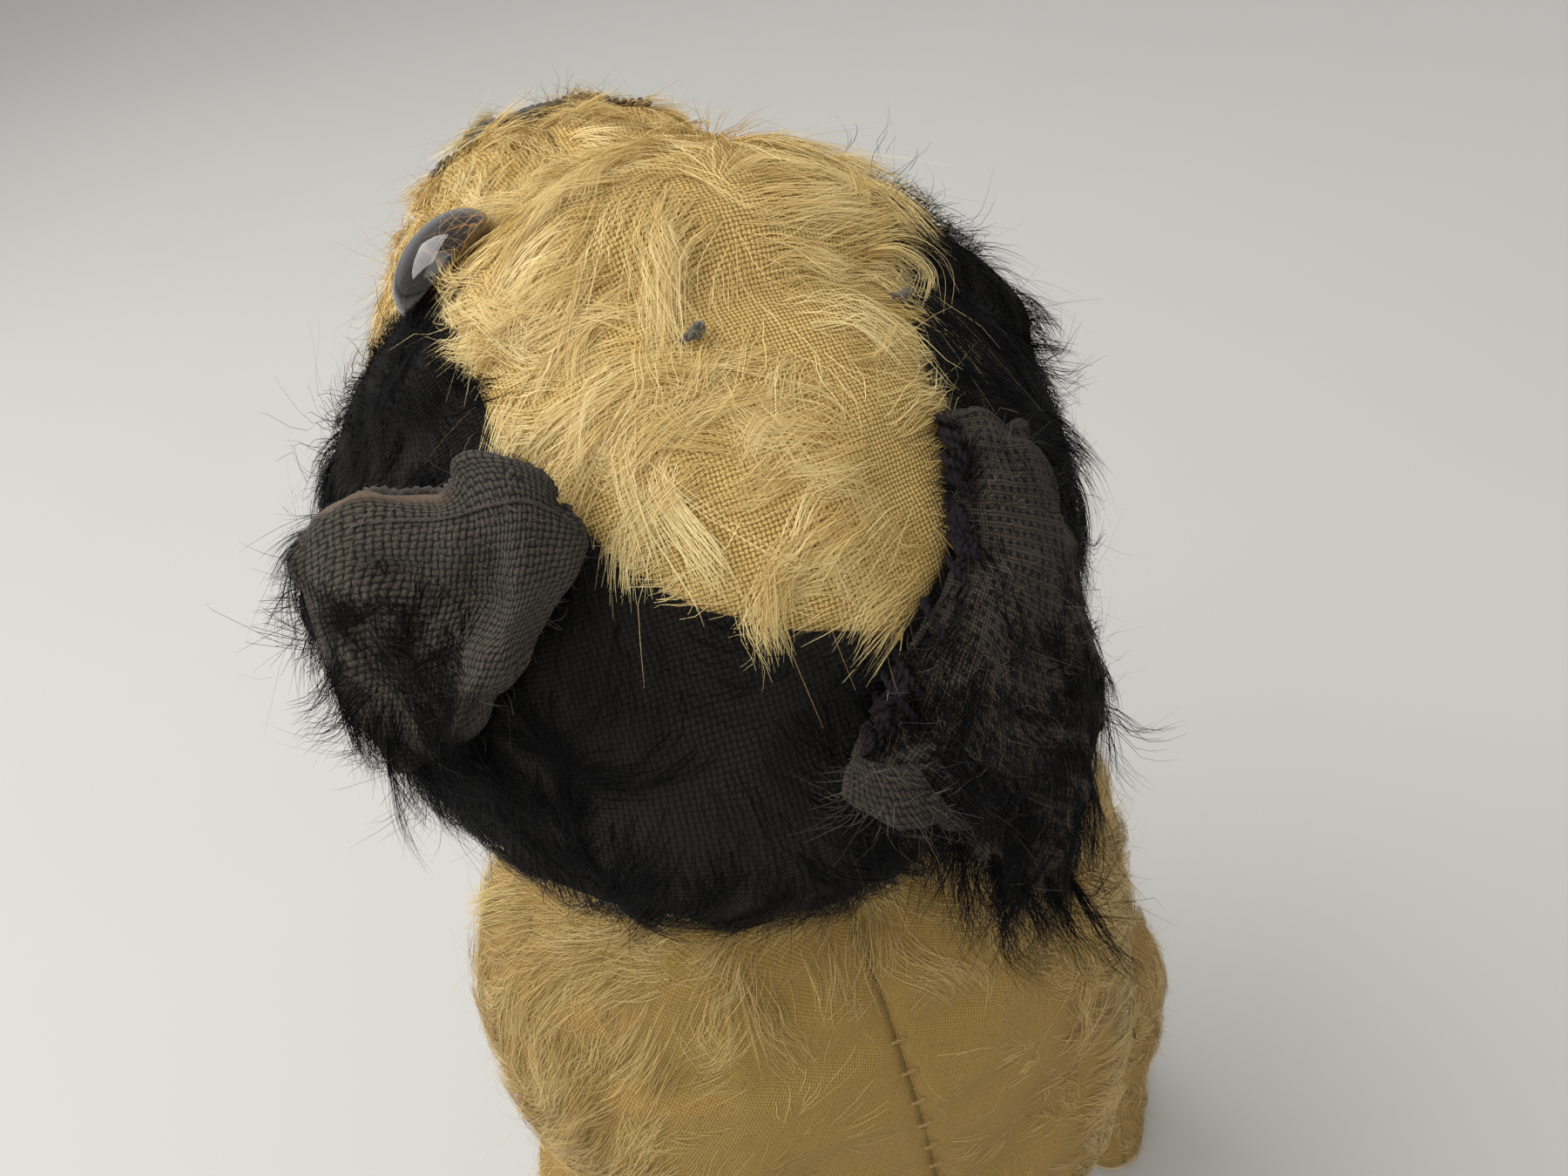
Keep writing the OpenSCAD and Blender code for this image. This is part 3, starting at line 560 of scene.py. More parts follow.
TIN = hard("tinplate", (0.42, 0.42, 0.40), (0.62, 0.62, 0.60), 300.0, 0.32, 1.0, 0.1)
WIRE = hard("steel_wire", (0.22, 0.21, 0.20), (0.46, 0.45, 0.44), 500.0, 0.38, 1.0, 0.15)


def dress(ob, material):
    ob.data.materials.clear()
    ob.data.materials.append(material)
    return ob


def place_piece(ob, body, slot, material, *nodes):
    """Puts a finished piece on its body, in place of the CAD nodes it shows."""
    dress(ob, material)
    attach(ob, body)
    if nodes:
        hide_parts(*nodes)
    return ob


INNER_PARTS = {"stuffing": STRAW, "disc": BOARD, "growler_box": CARD, "growler_cap": TIN}
for name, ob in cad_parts.items():
    dress(ob, next((look for key, look in INNER_PARTS.items() if key in name), WIRE))


# ---- mohair ----

class Pile:
    """Hair that grows on a panel: where, how long, which way, and how it clumps."""

    def __init__(self, seed, density, length, nap, body, slot, material, clump=4.0, gather=0.75,
                 lift=0.5, curl=1.0, width=0.11, fly=0.08, sink=50.0, sweep=None):
        self.__dict__.update(locals())


def sample(me, co, density, rng):
    """Random points on a mesh, with density in hairs per square mm at each vertex: the corners
    of each point's triangle and their weights."""
    me.calc_loop_triangles()
    tri = np.empty(len(me.loop_triangles) * 3, np.int32)
    me.loop_triangles.foreach_get("vertices", tri)
    tri = tri.reshape(-1, 3)
    a, b, c = co[tri[:, 0]], co[tri[:, 1]], co[tri[:, 2]]
    area = np.linalg.norm(np.cross(b - a, c - a), axis=1) / 2 / MM ** 2
    weight = area * density[tri].mean(1)
    count = int(weight.sum())
    pick = rng.choice(len(tri), count, p=weight / weight.sum())
    u, v = rng.random(count), rng.random(count)
    over = u + v > 1
    u, v = np.where(over, 1 - u, u), np.where(over, 1 - v, v)
    return tri[pick], np.stack([1 - u - v, u, v], 1)


HAIR_STEPS = 6
LOCK_SHARE = 0.112


def grow(name, ob, pile):
    """Mohair on the panel ob: locks of hair, each a flat ribbon that tapers to its tip."""
    rng = np.random.default_rng(pile.seed)
    co = co_of(ob.data)
    corners, weights = sample(ob.data, co, pile.density(co), rng)

    def at_root(values):
        return np.einsum("nk...,nk->n...", values[corners], weights)

    root = at_root(co)
    up = unit(at_root(unit(normals_of(ob.data))))
    way = at_root(pile.nap(co))
    count = len(root)
    chief = rng.choice(count, max(8, int(count * LOCK_SHARE / pile.clump)), replace=False)
    lock = chief[nearest(tree_of(root[chief]), root)[0]]
    t = np.linspace(0, 1, HAIR_STEPS + 1)[None, :, None]

    turn = rng.normal(0, 0.35, count)[lock] + rng.normal(0, 0.10, count)
    way = unit(way - up * np.sum(way * up, 1, keepdims=True))
    way = unit(way * np.cos(turn)[:, None] + np.cross(up, way) * np.sin(turn)[:, None])
    side = np.cross(up, way)
    free = rng.random(count) < pile.fly
    scale = (rng.uniform(0.75, 1.15, count)[lock] * rng.uniform(0.75, 1.1, count))[:, None, None]
    reach = at_root(pile.length(co))[:, None, None] * scale
    lift = (pile.lift * rng.uniform(0.5, 1.5, count)[lock] * np.where(free, 1.9, 1))[:, None, None]
    bend = (rng.normal(0, 1, count)[lock] * pile.curl * np.where(free, 1.7, 1))[:, None, None]
    wave = rng.uniform(0, 6.28, count)[lock][:, None, None]
    rate = rng.uniform(2.0, 5.0, count)[lock][:, None, None]
    forth = (1 - 0.12 * np.abs(bend) * t) * t
    rise = lift * reach * 0.42 * (1 - np.exp(-3.2 * t)) - (reach * t) ** 2 / (2 * pile.sink * MM)
    sway = bend * reach * (0.22 * t ** 2 + 0.07 * t * np.sin(rate * t * 2.2 + wave))
    path = way[:, None] * forth * reach + up[:, None] * rise + side[:, None] * sway

    gather = (pile.gather * np.where(free, 0.15, 1) * rng.uniform(0.6, 1.1, count))[:, None, None]
    path = path + (root[lock] - root)[:, None] * gather * t ** 1.2
    if pile.sweep:
        path = path + at_root(pile.sweep(co))[:, None] * reach * 0.42 * t ** 2
    stray = rng.normal(size=(count, 1, 3)) * np.where(free, 2.6, 0.40)[:, None, None] * MM
    path = path + stray * t ** 1.5 + root[:, None] - up[:, None] * 0.3 * MM

    face = up + side * rng.uniform(-1.0, 1.0, count)[:, None]
    wide = pile.width * rng.uniform(0.7, 1.2, count) * np.where(free, 0.65, 1)
    own = rng.normal(0, 0.14, count)[lock] + rng.normal(0, 0.10, count)
    return place_piece(ribbons(name, path, face, wide, own), pile.body, pile.slot, pile.material)


PROUD = 8 * MM
PROUD_MORE = 5 * MM
OFF_FLOOR = 0.3 * MM


def kept_near(path):
    """Bends hair back where it would stand far outside the CAD box or pass the floor."""
    lo, hi = np.array(cad_box)
    over, under = np.maximum(path - hi - PROUD, 0), np.maximum(lo - PROUD - path, 0)
    path = (path - over + PROUD_MORE * np.tanh(over / PROUD_MORE)
            + under - PROUD_MORE * np.tanh(under / PROUD_MORE))
    path[..., 2] = np.maximum(path[..., 2], OFF_FLOOR)
    return path


def ribbons(name, path, face, wide, own):
    """Flat tapering hairs along the paths, wide mm at the root, each facing its own way."""
    path = kept_near(path)
    count, k = path.shape[:2]
    t = np.linspace(0, 1, k)[None, :, None]
    across = unit(np.cross(np.gradient(path, axis=1), face[:, None]))
    half = wide[:, None, None] * MM * (1 - 0.8 * t ** 2.2) / 2
    corner = np.stack([path - across * half, path + across * half], 2)
    step = np.arange(k - 1) * 2
    quad = np.stack([step, step + 1, step + 3, step + 2], 1)
    faces = (np.arange(count)[:, None, None] * 2 * k + quad[None]).reshape(-1, 4)
    hair = mesh_object(name, corner.reshape(-1, 3), faces)
    shade = np.clip(0.30 + 0.42 * t[:, :, 0] + own[:, None], 0, 1)
    float_attribute(hair.data, "shade", np.repeat(shade, 2, axis=1).ravel())
    return hair


def curve(points, count):
    """A smooth line, or sheet of lines, through the points along their first axis."""
    p = np.asarray(points, float)
    p = np.concatenate([2 * p[:1] - p[1:2], p, 2 * p[-1:] - p[-2:-1]])
    f = np.linspace(0, len(p) - 3, count)
    i = np.minimum(f.astype(int), len(p) - 4)
    t = (f - i).reshape(-1, *([1] * (p.ndim - 1)))
    a, b, c, d = p[i], p[i + 1], p[i + 2], p[i + 3]
    return b + t / 2 * (c - a + t * (2 * a - 5 * b + 4 * c - d + t * (3 * (b - c) + d - a)))


def rings(count, sides):
    """Quads that join the given number of rings of points."""
    i, j = np.meshgrid(np.arange(count - 1) * sides, np.arange(sides), indexing="ij")
    k = (j + 1) % sides
    return np.stack([i + j, i + k, i + k + sides, i + j + sides], -1).reshape(-1, 4)


CORD_SIDES = 8


def cords(name, paths, radius, plies=1, pitch=3.0):
    """Threads along the paths as one mesh; plies twist together, one turn per pitch mm."""
    ring = np.arange(CORD_SIDES) * 2 * math.pi / CORD_SIDES
    cap = np.array(((0, 7, 2, 1), (2, 7, 6, 3), (3, 6, 5, 4)))
    solid, faces, start = [], [], 0
    for path in paths:
        path = np.asarray(path, float)
        n = len(path)
        along = unit(np.gradient(path, axis=0))
        across = np.empty_like(path)
        ref = np.cross(along[0], (0.31, 0.52, 0.79))
        for i in range(n):
            ref = unit(ref - along[i] * (ref @ along[i]))
            across[i] = ref
        up = np.cross(along, across)
        run = np.concatenate([[0], np.cumsum(np.linalg.norm(np.diff(path, axis=0), axis=1))])
        for ply in range(plies):
            turn = run / (pitch * MM) * 2 * math.pi + ply * 2 * math.pi / plies
            out = radius * MM * (0.52 if plies > 1 else 0)
            line = path + (across * np.cos(turn)[:, None] + up * np.sin(turn)[:, None]) * out
            r = radius * MM * (0.62 if plies > 1 else 1) * np.ones(n)
            r[0] = r[-1] = r[1] * 0.55
            loop = across[:, None] * np.cos(ring)[:, None] + up[:, None] * np.sin(ring)[:, None]
            solid.append((line[:, None] + loop * r[:, None, None]).reshape(-1, 3))
            end = cap[:, ::-1] + (n - 1) * CORD_SIDES
            faces.append(np.concatenate([rings(n, CORD_SIDES), cap, end]) + start)
            start += n * CORD_SIDES
    return mesh_object(name, np.concatenate(solid), np.concatenate(faces))


def lathe(name, profile, centre, axis, sides=48):
    """A turned form: the profile is (radius, height) in mm along the axis from the centre."""
    axis = unit(np.asarray(axis, float))
    x = unit(np.cross(axis, (0.2, 0.3, 0.9)))
    y = np.cross(axis, x)
    turn = np.arange(sides) * 2 * math.pi / sides
    ring = x * np.cos(turn)[:, None] + y * np.sin(turn)[:, None]
    co = [centre + ring * r * MM + axis * h * MM for r, h in profile]
    ob = mesh_object(name, np.concatenate(co), rings(len(profile), sides))
    bm = bmesh.new()
    bm.from_mesh(ob.data)
    bmesh.ops.remove_doubles(bm, verts=bm.verts, dist=0.001 * MM)
    bmesh.ops.holes_fill(bm, edges=[e for e in bm.edges if e.is_boundary], sides=0)
    bmesh.ops.recalc_face_normals(bm, faces=bm.faces)
    bm.to_mesh(ob.data)
    bm.free()
    ob.data.shade_smooth()
    return ob


# ---- head ----

HEAD_RADIUS = 50 * MM


def cloth_on_head(ob):
    phi, s = head_angles(co_of(ob.data))
    across, along = np.radians(s) * HEAD_RADIUS, np.radians(phi) * HEAD_RADIUS
    cloth_attribute(ob.data, np.stack([across, along, s * 0], 1))


def spot(phi, s, p0, s0, rp, rs):
    """1 in the middle of an oval patch on the head, 0 outside it."""
    d = np.sqrt(((phi - p0) / rp) ** 2 + ((s - s0) * np.cos(np.radians(s)) / rs) ** 2)
    return 1 - smooth(d, 0.55, 1.2)


def head_flow(co, turn_phi, turn_s):
    """Tangent directions on the head from their parts along phi and s."""
    phi, s = head_angles(co)
    p, t = np.radians(phi), np.radians(s)
    along = head_world(np.stack([0 * t, np.sin(p), np.cos(p)], -1))
    lean = head_world(np.stack([np.cos(t), np.sin(t) * np.cos(p), -np.sin(t) * np.sin(p)], -1))
    return along * turn_phi[:, None] + lean * turn_s[:, None]


# Worn patches of the crown: the middle's phi and s, then the half sizes along both.
GUSSET_BALD = (
    (74, -1, 6, 8), (91, -6, 8, 12), (90, -22, 9, 9), (103, -27, 8, 8), (108, -21, 5, 7),
    (120, -22, 9, 6), (116, 1, 7, 9), (131, -4, 7, 9), (112, 17, 6, 6), (124, 9, 6, 7),
    (103, 23, 6, 5), (118, 14, 6, 6), (130, 3, 6, 7),
)


def gusset_density(co):
    phi, s = head_angles(co)
    bald = np.maximum.reduce([spot(phi, s, p0, s0, rp * 0.85, rs * 0.85)
                              for p0, s0, rp, rs in GUSSET_BALD])
    ragged = 0.85 + 0.25 * waves(co, 9 * MM, 5)
    return 2.6 * np.clip(1 - 0.93 * bald * ragged, 0.05, 1)


def gusset_nap(co):
    phi, s = head_angles(co)
    parting = -15 - 6 * smooth(phi, 84, 108) + 3 * waves(co, 60 * MM, 3)
    to_side = np.tanh((s - parting) / 4)
    wander = waves(co, 24 * MM, 11)
    low = smooth(phi, 88, 112)
    back = 0.05 + 0.42 * wander - 0.10 * low * (to_side > 0)
    return head_flow(co, back, to_side * 1.35 + 0.2 * waves(co, 26 * MM, 12))


def gusset_sweep(co):
    phi, _ = head_angles(co)
    back = 0.62 - 0.22 * smooth(phi, 85, 110) + 0.45 * waves(co, 30 * MM, 14)
    return head_flow(co, back, 0 * phi)


def gusset_length(co):
    phi, s = head_angles(co)
    return (14 - 4 * smooth(phi, 116, 134) - 5.5 * smooth(s, 11, 24)) * MM


def muzzle_nap(co):
    _, s = head_angles(co)
    lean = 0.9 * waves(co, 26 * MM, 15) + 0.5 * np.tanh(s / 20)
    return head_flow(co, 0.55 + 0.6 * waves(co, 20 * MM, 13), lean)


SIDE_BALD = ((128, 18, 20, 15), (138, 4, 13, 13), (150, 12, 9, 16))


def side_density(co):
    phi, s = head_angles(co)
    bald = np.maximum.reduce([spot(phi, s, *patch) for patch in SIDE_BALD])
    neck = smooth(co[:, 2], 216.5 * MM, 219 * MM)
    return 1.36 * np.clip(1 - 0.88 * bald * (0.9 + 0.2 * waves(co, 8 * MM, 21)), 0.03, 1) * neck


def side_length(co):
    phi, _ = head_angles(co)
    return (12 + 3.5 * smooth(phi, 150, 175)) * MM


def side_nap(co):
    phi, s = head_angles(co)
    lean = 0.35 * np.sign(s) + 0.6 * waves(co, 28 * MM, 23)
    down = head_flow(co, 0.9 + 0.5 * waves(co, 24 * MM, 22), lean)
    low = smooth(phi, 175, 215)[:, None]
    return down * (1 - 0.6 * low) + np.array((0, 0.25, -0.2)) * low


def even(value):
    return lambda co: np.full(len(co), value)


BROW_CREASE = 46


def head_swell(co):
    """The brow stands over a crease behind the muzzle, and the back of the head is full."""
    phi, s = head_angles(co)
    brow = spot(phi, s, 65, -17, 19, 27) * 5.6 + spot(phi, s, 66, 14, 16, 17) * 2.4
    crease = np.exp(-((phi - BROW_CREASE) / 5) ** 2) * (1 - smooth(np.abs(s + 2), 22, 34)) * 1.8
    nape = spot(phi, s, 168, 4, 20, 30) * 2.4 * smooth(co[:, 2], 219 * MM, 228 * MM)
    return brow - crease + nape


HEAD_PANELS = ["head_gusset", "muzzle_left", "muzzle_right", "head_side_left", "head_side_right"]
HEAD_NECK = (-0.03, -0.03, 0.2), (0.03, 0.04, 0.2165)
head_form, head_seams, head_marks = stuffed("head_form", HEAD_PANELS, "head_stuffing", *HEAD_NECK,
                                            swell=head_swell)
HEAD_SKIN = surface_tree(head_form.data)


OUTSIDE = 120 * MM


def on_head(phi, s, h=0.0):
    """Points h mm over the head's skin at phi and s."""
    d = head_ray(np.asarray(phi, float), np.asarray(s, float))
    skin = [HEAD_SKIN.ray_cast(Vector(HEAD_CENTRE + v * OUTSIDE), Vector(-v))[0]
            for v in d.reshape(-1, 3)]
    return np.array(skin).reshape(d.shape) + d * (np.asarray(h, float) * MM)[..., None]


HEAD_COATS = {
    "head_gusset": Pile(11, gusset_density, gusset_length, gusset_nap, "head", "gold_mohair", GOLD_HAIR,
                        lift=0.28, curl=1.45, width=0.095, clump=4.5, gather=0.8,
                        sweep=gusset_sweep, fly=0.05)}
for k, side in enumerate(("left", "right")):
    HEAD_COATS["muzzle_" + side] = Pile(21 + k, even(2.2), even(10 * MM), muzzle_nap, "head",
                                        "gold_mohair", GOLD_HAIR, lift=0.36, curl=1.1)
    HEAD_COATS["head_side_" + side] = Pile(31 + k, side_density, side_length, side_nap, "head",
                                           "black_mohair", BLACK_HAIR, lift=0.36, curl=1.6, fly=0.07)
names = [node.replace("head_", "") for node in HEAD_PANELS]
skins = cut_panels(head_form, head_seams, head_marks, [name + "_skin" for name in names])
for ob, node, name in zip(skins, HEAD_PANELS, names):
    cloth_on_head(ob)
    coat = HEAD_COATS[node]
    grow(name + "_mohair", ob, coat)
    thicken(ob)
    place_piece(ob, "head", coat.slot, BLACK_CLOTH if coat.material == BLACK_HAIR else GOLD_CLOTH, node)


# ---- ears: two layers of cloth, hemmed round, laid over the head ----

HEM_TURN = math.radians(205)


class Flap:
    """A soft flap through rows of (phi, s, height over the head)."""

    def __init__(self, rows, seed, n=58):
        grid = curve(np.swapaxes(curve(np.array(rows, float), n), 0, 1), n)
        co = on_head(grid[..., 0], grid[..., 1], grid[..., 2])
        for _ in range(3):
            co[1:-1, 1:-1] = (co[1:-1, 1:-1] * 2 + co[:-2, 1:-1] + co[2:, 1:-1]
                              + co[1:-1, :-2] + co[1:-1, 2:]) / 6
        self.u_way, self.v_way = np.gradient(co, axis=0), np.gradient(co, axis=1)
        up = unit(np.cross(self.u_way, self.v_way))
        if np.mean(np.sum(up * (co - HEAD_CENTRE), -1)) < 0:
            up = -up
        crumple = 0.7 * waves(co, 10 * MM, seed) + 0.3 * waves(co, 5 * MM, seed + 1)
        self.co, self.up, self.n = co + up * crumple[..., None] * MM, up, n

    def sheet(self, name, drop, hem=0.0, steps=7):
        """The flap as a mesh, drop mm under its face, with a rolled hem of that radius in mm.
        With it come each point's place across and along the flap, from 0 to 1."""
        n, k = self.n, steps if hem else 0
        index = np.arange(-k, n + k)
        i, j = np.meshgrid(index, index, indexing="ij")
        a, b = np.clip(i, 0, n - 1), np.clip(j, 0, n - 1)
        da, db = (i - a).astype(float), (j - b).astype(float)
        far = np.maximum(np.abs(da), np.abs(db))
        way = unit(unit(self.u_way[a, b]) * da[..., None] + unit(self.v_way[a, b]) * db[..., None])
        turn = (far / max(k, 1) * HEM_TURN)[..., None]
        down = hem * (1 - np.cos(turn)) + drop
        co = self.co[a, b] + way * hem * MM * np.sin(turn) - self.up[a, b] * down * MM
        m = len(index)
        q, r = np.meshgrid(np.arange(m - 1) * m, np.arange(m - 1), indexing="ij")
        faces = np.stack([q + r, q + r + m, q + r + m + 1, q + r + 1], -1).reshape(-1, 4)
        flat = co.reshape(-1, 3)
        p0, p1, p2 = flat[faces[len(faces) // 2][:3]]
        if np.cross(p1 - p0, p2 - p0) @ (p0 - HEAD_CENTRE) < 0:
            faces = faces[:, ::-1]
        ob = mesh_object(name, flat, faces)
        step_u = np.linalg.norm(self.u_way, axis=-1).mean()
        step_v = np.linalg.norm(self.v_way, axis=-1).mean()
        cloth_attribute(ob.data, np.stack([i * step_u, j * step_v, 0.0 * i], -1).reshape(-1, 3))
        self.size = (step_u * (n - 1), step_v * (n - 1))
        return ob, (a / (n - 1)).ravel(), (b / (n - 1)).ravel()


def drift(co, size, seed, way, strength=1.0):
    """A wander to and fro along the way, which turns over about size mm."""
    return strength * waves(co, size * MM, seed)[:, None] * np.array(way)


def frizzed(name, ob, seed, density, length, nap, lift):
    """Short woolly fluff on worn cloth."""
    return grow(name, ob, Pile(seed, even(density), even(length * MM), nap, "head", "black_mohair",
                               FRIZZ, lift=lift, curl=2.5, width=0.07, gather=0.1, fly=0.3))


def ear(side, rows, seed, thin, length, nap, materials, **looks):
    """One ear: the furred back with its hem, the lining under it, and its mohair."""
    ear_name = "ear_" + side
    flap = Flap(rows, seed)
    back, u, v = flap.sheet(ear_name + "_back_cloth", 0, 1.25)
    lining, _, _ = flap.sheet(ear_name + "_lining_cloth", 1.2)
    if side == "left":
        ridge = smooth(u, 0.14, 0.22) * (1 - smooth(u, 0.50, 0.60)) * (1 - smooth(v, 0.17, 0.25))
        float_attribute(back.data, "fold", ridge)
    hair = grow(ear_name + "_mohair", back, Pile(
        seed, lambda co: thin(u, v, co), lambda co: length(u, v), nap, "head", "black_mohair",
        BLACK_HAIR, **looks))
    frizz = frizzed(ear_name + "_frizz", back, seed + 5, 0.32, 3.2, lambda co: (
        drift(co, 3, seed, (1, 1, 0)) + drift(co, 4, seed + 3, (0, 1, 1))), 0.7)
    for ob, node, thick, slot, material in (
            (back, ear_name + "_back", 0.9, "black_mohair", materials[0]),
            (lining, ear_name + "_lining", 0.8, "ear_cloth", materials[1])):
        area = sum(p.area for p in ob.data.polygons)
        thicken(ob, thick)
        place_piece(ob, "head", slot, material, node)
        root = math.sqrt(area / (flap.size[0] * flap.size[1]) * 1.02)
        flat = (flap.size[0] * root, flap.size[1] * root)
    return flap


def left_ear_density(u, v, co):
    furred = smooth(v + 0.05 * waves(co, 9 * MM, 64), 0.36, 0.50)
    fringe = furred * (1 - smooth(u + 0.10 * waves(co, 12 * MM, 61), 0.50, 0.78))
    front = (1 - smooth(u, 0.10, 0.22)) * smooth(v, 0.02, 0.12)
    tip = smooth(v, 0.86, 0.97)
    middle = smooth(v, 0.34, 0.52) * (1 - smooth(u, 0.45, 0.75)) * 0.55
    return 2.2 * np.maximum.reduce([fringe, front, tip, middle, 0.03 + 0 * u])


def right_ear_density(u, v, co):
    worn = 1 - smooth(np.sqrt(((u - 0.52) / 0.36) ** 2 + ((v - 0.30) / 0.26) ** 2), 0.6, 1.25)
    ragged = 0.5 + 0.5 * waves(co, 7 * MM, 71)
    return 2.2 * np.clip((1 - 0.92 * worn) * (0.65 + 0.5 * ragged), 0.08, 1.1)


# Rows of (phi, s, mm over the head), from one edge of the flap to the other.
LEFT_EAR = (
    ((86, 57, 3), (90, 48, 4), (96, 41, 6), (99, 35, 5), (99, 30, 6), (102, 24, 6), (108, 22, 3)),
    ((87, 58, 6), (92, 49, 10), (96, 39, 13), (101, 33, 10), (99, 28, 13), (103, 21, 13), (109, 20, 7)),
    ((93, 61, 6), (97, 54, 10), (101, 41, 12), (105, 33, 11), (107, 27, 11), (108, 23, 11), (111, 20, 6)),
    ((103, 63, 5), (106, 57, 9), (108, 46, 9), (112, 39, 7), (114, 33, 5), (116, 28, 8), (116, 23, 6)),
    ((117, 62, 5), (119, 57, 8), (119, 48, 9), (121, 43, 7), (121, 38, 5), (122, 33, 7), (122, 29, 5)),
    ((130, 60, 4), (130, 57, 7), (129, 51, 8), (130, 46, 7), (131, 43, 6), (130, 40, 6), (129, 37, 4)),
    ((139, 58, 3), (140, 56, 5), (140, 53, 6), (139, 50, 6), (138, 48, 5), (137, 46, 4), (136, 44, 3)),
)
RIGHT_EAR = (
    ((114, -30, 2), (115, -32, 5), (117, -34, 6), (119, -37, 5), (120, -42, 3)),
    ((122, -27, 2), (123, -28, 7), (125, -31, 8), (128, -36, 7), (133, -41, 4)),
    ((131, -24, 2), (132, -25, 7), (134, -27, 9), (139, -32, 8), (148, -38, 5)),
    ((136, -17, 2), (138, -18, 8), (143, -20, 10), (150, -26, 9), (162, -35, 7)),
    ((142, -9, 2), (146, -12, 8), (152, -14, 11), (161, -21, 11), (171, -27, 11)),
    ((149, -1, 2), (151, -5, 7), (157, -8, 10), (168, -13, 13), (177, -20, 17)),
)
SIDEWAYS = (0.9, -0.2, 0)
left_flap = ear(
    "left", LEFT_EAR, 61, left_ear_density, lambda u, v: (10 + 3 * v) * MM,
    lambda co: np.array((0.25, 0.35, -0.9)) + drift(co, 13, 62, SIDEWAYS, 0.7),
    (EAR_CLOTH, EAR_CLOTH), lift=0.28, curl=2.1, fly=0.03, width=0.09)
right_flap = ear(
    "right", RIGHT_EAR, 71, right_ear_density, lambda u, v: (10 + 7 * smooth(v, 0.3, 1)) * MM,
    lambda co: np.array((0.10, 0.30, -0.95)) + drift(co, 15, 72, SIDEWAYS, 0.45),
    (DOTTED_CLOTH, EAR_CLOTH), lift=0.22, curl=1.5, fly=0.04, width=0.10)


# ---- the right ear's coarse stitches, nose, mouth, knots and eyes ----

STITCH_PLACES = 21


def over_edge(k):
    """A whip stitch from the head over the right ear's base edge into the flap."""
    flap = right_flap
    i = int((k + 0.5) / STITCH_PLACES * (flap.n - 1))
    j = 5 + k % 3
    base, inside = flap.co[0, i], flap.co[j, min(i + 2, flap.n - 1)]
    way = unit(inside - base)
    a = base - way * 2.2 * MM - flap.up[0, i] * 1.5 * MM
    c = base + flap.up[0, i] * (1.6 + 0.5 * (k % 2)) * MM
    d = inside + flap.up[j, i] * 0.5 * MM
    return curve([a, (a + c) / 2 - way * 0.8 * MM, c, (c + d) / 2 + flap.up[j, i] * 0.6 * MM, d], 18)


def tangle(centre, up, way, size, seed, loops=3):
    """A small tangle of thread: overlapping loops and a loose end."""
    rng = np.random.default_rng(seed)
    side = np.cross(up, way)
    t = np.linspace(0, loops * 2 * math.pi, 24 * loops)
    r = size * MM * (0.75 + 0.25 * np.sin(t * 0.7 + rng.uniform(0, 6)))
    round_it = way * np.cos(t)[:, None] + side * 0.7 * np.sin(t * 1.1 + 0.6)[:, None]
    over_it = up * (0.5 + 0.5 * np.sin(t * 1.5))[:, None] * size * 0.7 * MM
    path = centre + round_it * r[:, None] + over_it
    loose = (way * 1.2 + side * rng.uniform(-1, 1)) * size * np.linspace(0.2, 1.4, 8)[:, None] * MM
    return np.concatenate([path, path[-1] + loose])


def head_thread(name, paths, material, *nodes, **twist):
    place_piece(cords(name, paths, **twist), "head", "dark_thread", material, *nodes)


stitches = [over_edge(k) for k in (0, 1, 3, 4, 6, 7, 8, 10, 13, 16, 17, 18)]
for at, size in ((5, 1.5), (12, 1.2), (18, 1.9), (23, 1.5), (46, 1.9), (50, 1.7), (54, 1.3)):
    up = right_flap.up[1, at]
    stitches.append(tangle(right_flap.co[1, at] + up * 0.7 * MM, up, unit(right_flap.v_way[1, at]),
                           size, at))
head_thread("ear_right_thread", stitches, DARK_THREAD, "ear_right_stitching",
            radius=0.5, plies=2, pitch=2.2)

top = left_flap.co[8:-3, 4] + left_flap.up[8:-3, 4] * 0.5 * MM
across = left_flap.co[18:-4, 17] + left_flap.up[18:-4, 17] * 0.25 * MM
head_thread("ear_left_hem", [top], HEM_THREAD, radius=0.62, plies=2, pitch=2.6)
head_thread("ear_left_seam", [across], HEM_THREAD, radius=0.22, plies=2, pitch=1.6)

NOSE_STITCHES = 29
NOSE_HALF = 15
nose = []
for k in range(NOSE_STITCHES):
    s = -NOSE_HALF + 2 * NOSE_HALF * k / (NOSE_STITCHES - 1)
    phi = np.linspace(14 - 2.2 * (s / NOSE_HALF) ** 2, -6 + 3.5 * (s / NOSE_HALF) ** 2, 16)
    hump = 0.35 + 1.25 * np.sin(np.linspace(0.05, 0.95, 16) * math.pi) ** 0.5
    nose.append(on_head(phi, phi * 0 + s, hump))
head_thread("nose_satin", nose, NOSE_THREAD, "nose_stitching", radius=0.56)
mouth = [on_head(np.linspace(-6, -21.5, 14), np.zeros(14), np.full(14, 0.8))]
for side in (-1, 1):
    mouth.append(on_head(np.linspace(-22, -31, 16), side * np.linspace(0.6, 16, 16), np.full(16, 0.8)))
head_thread("mouth_thread", mouth, NOSE_THREAD, "mouth_stitching", radius=0.75, plies=3, pitch=3.2)

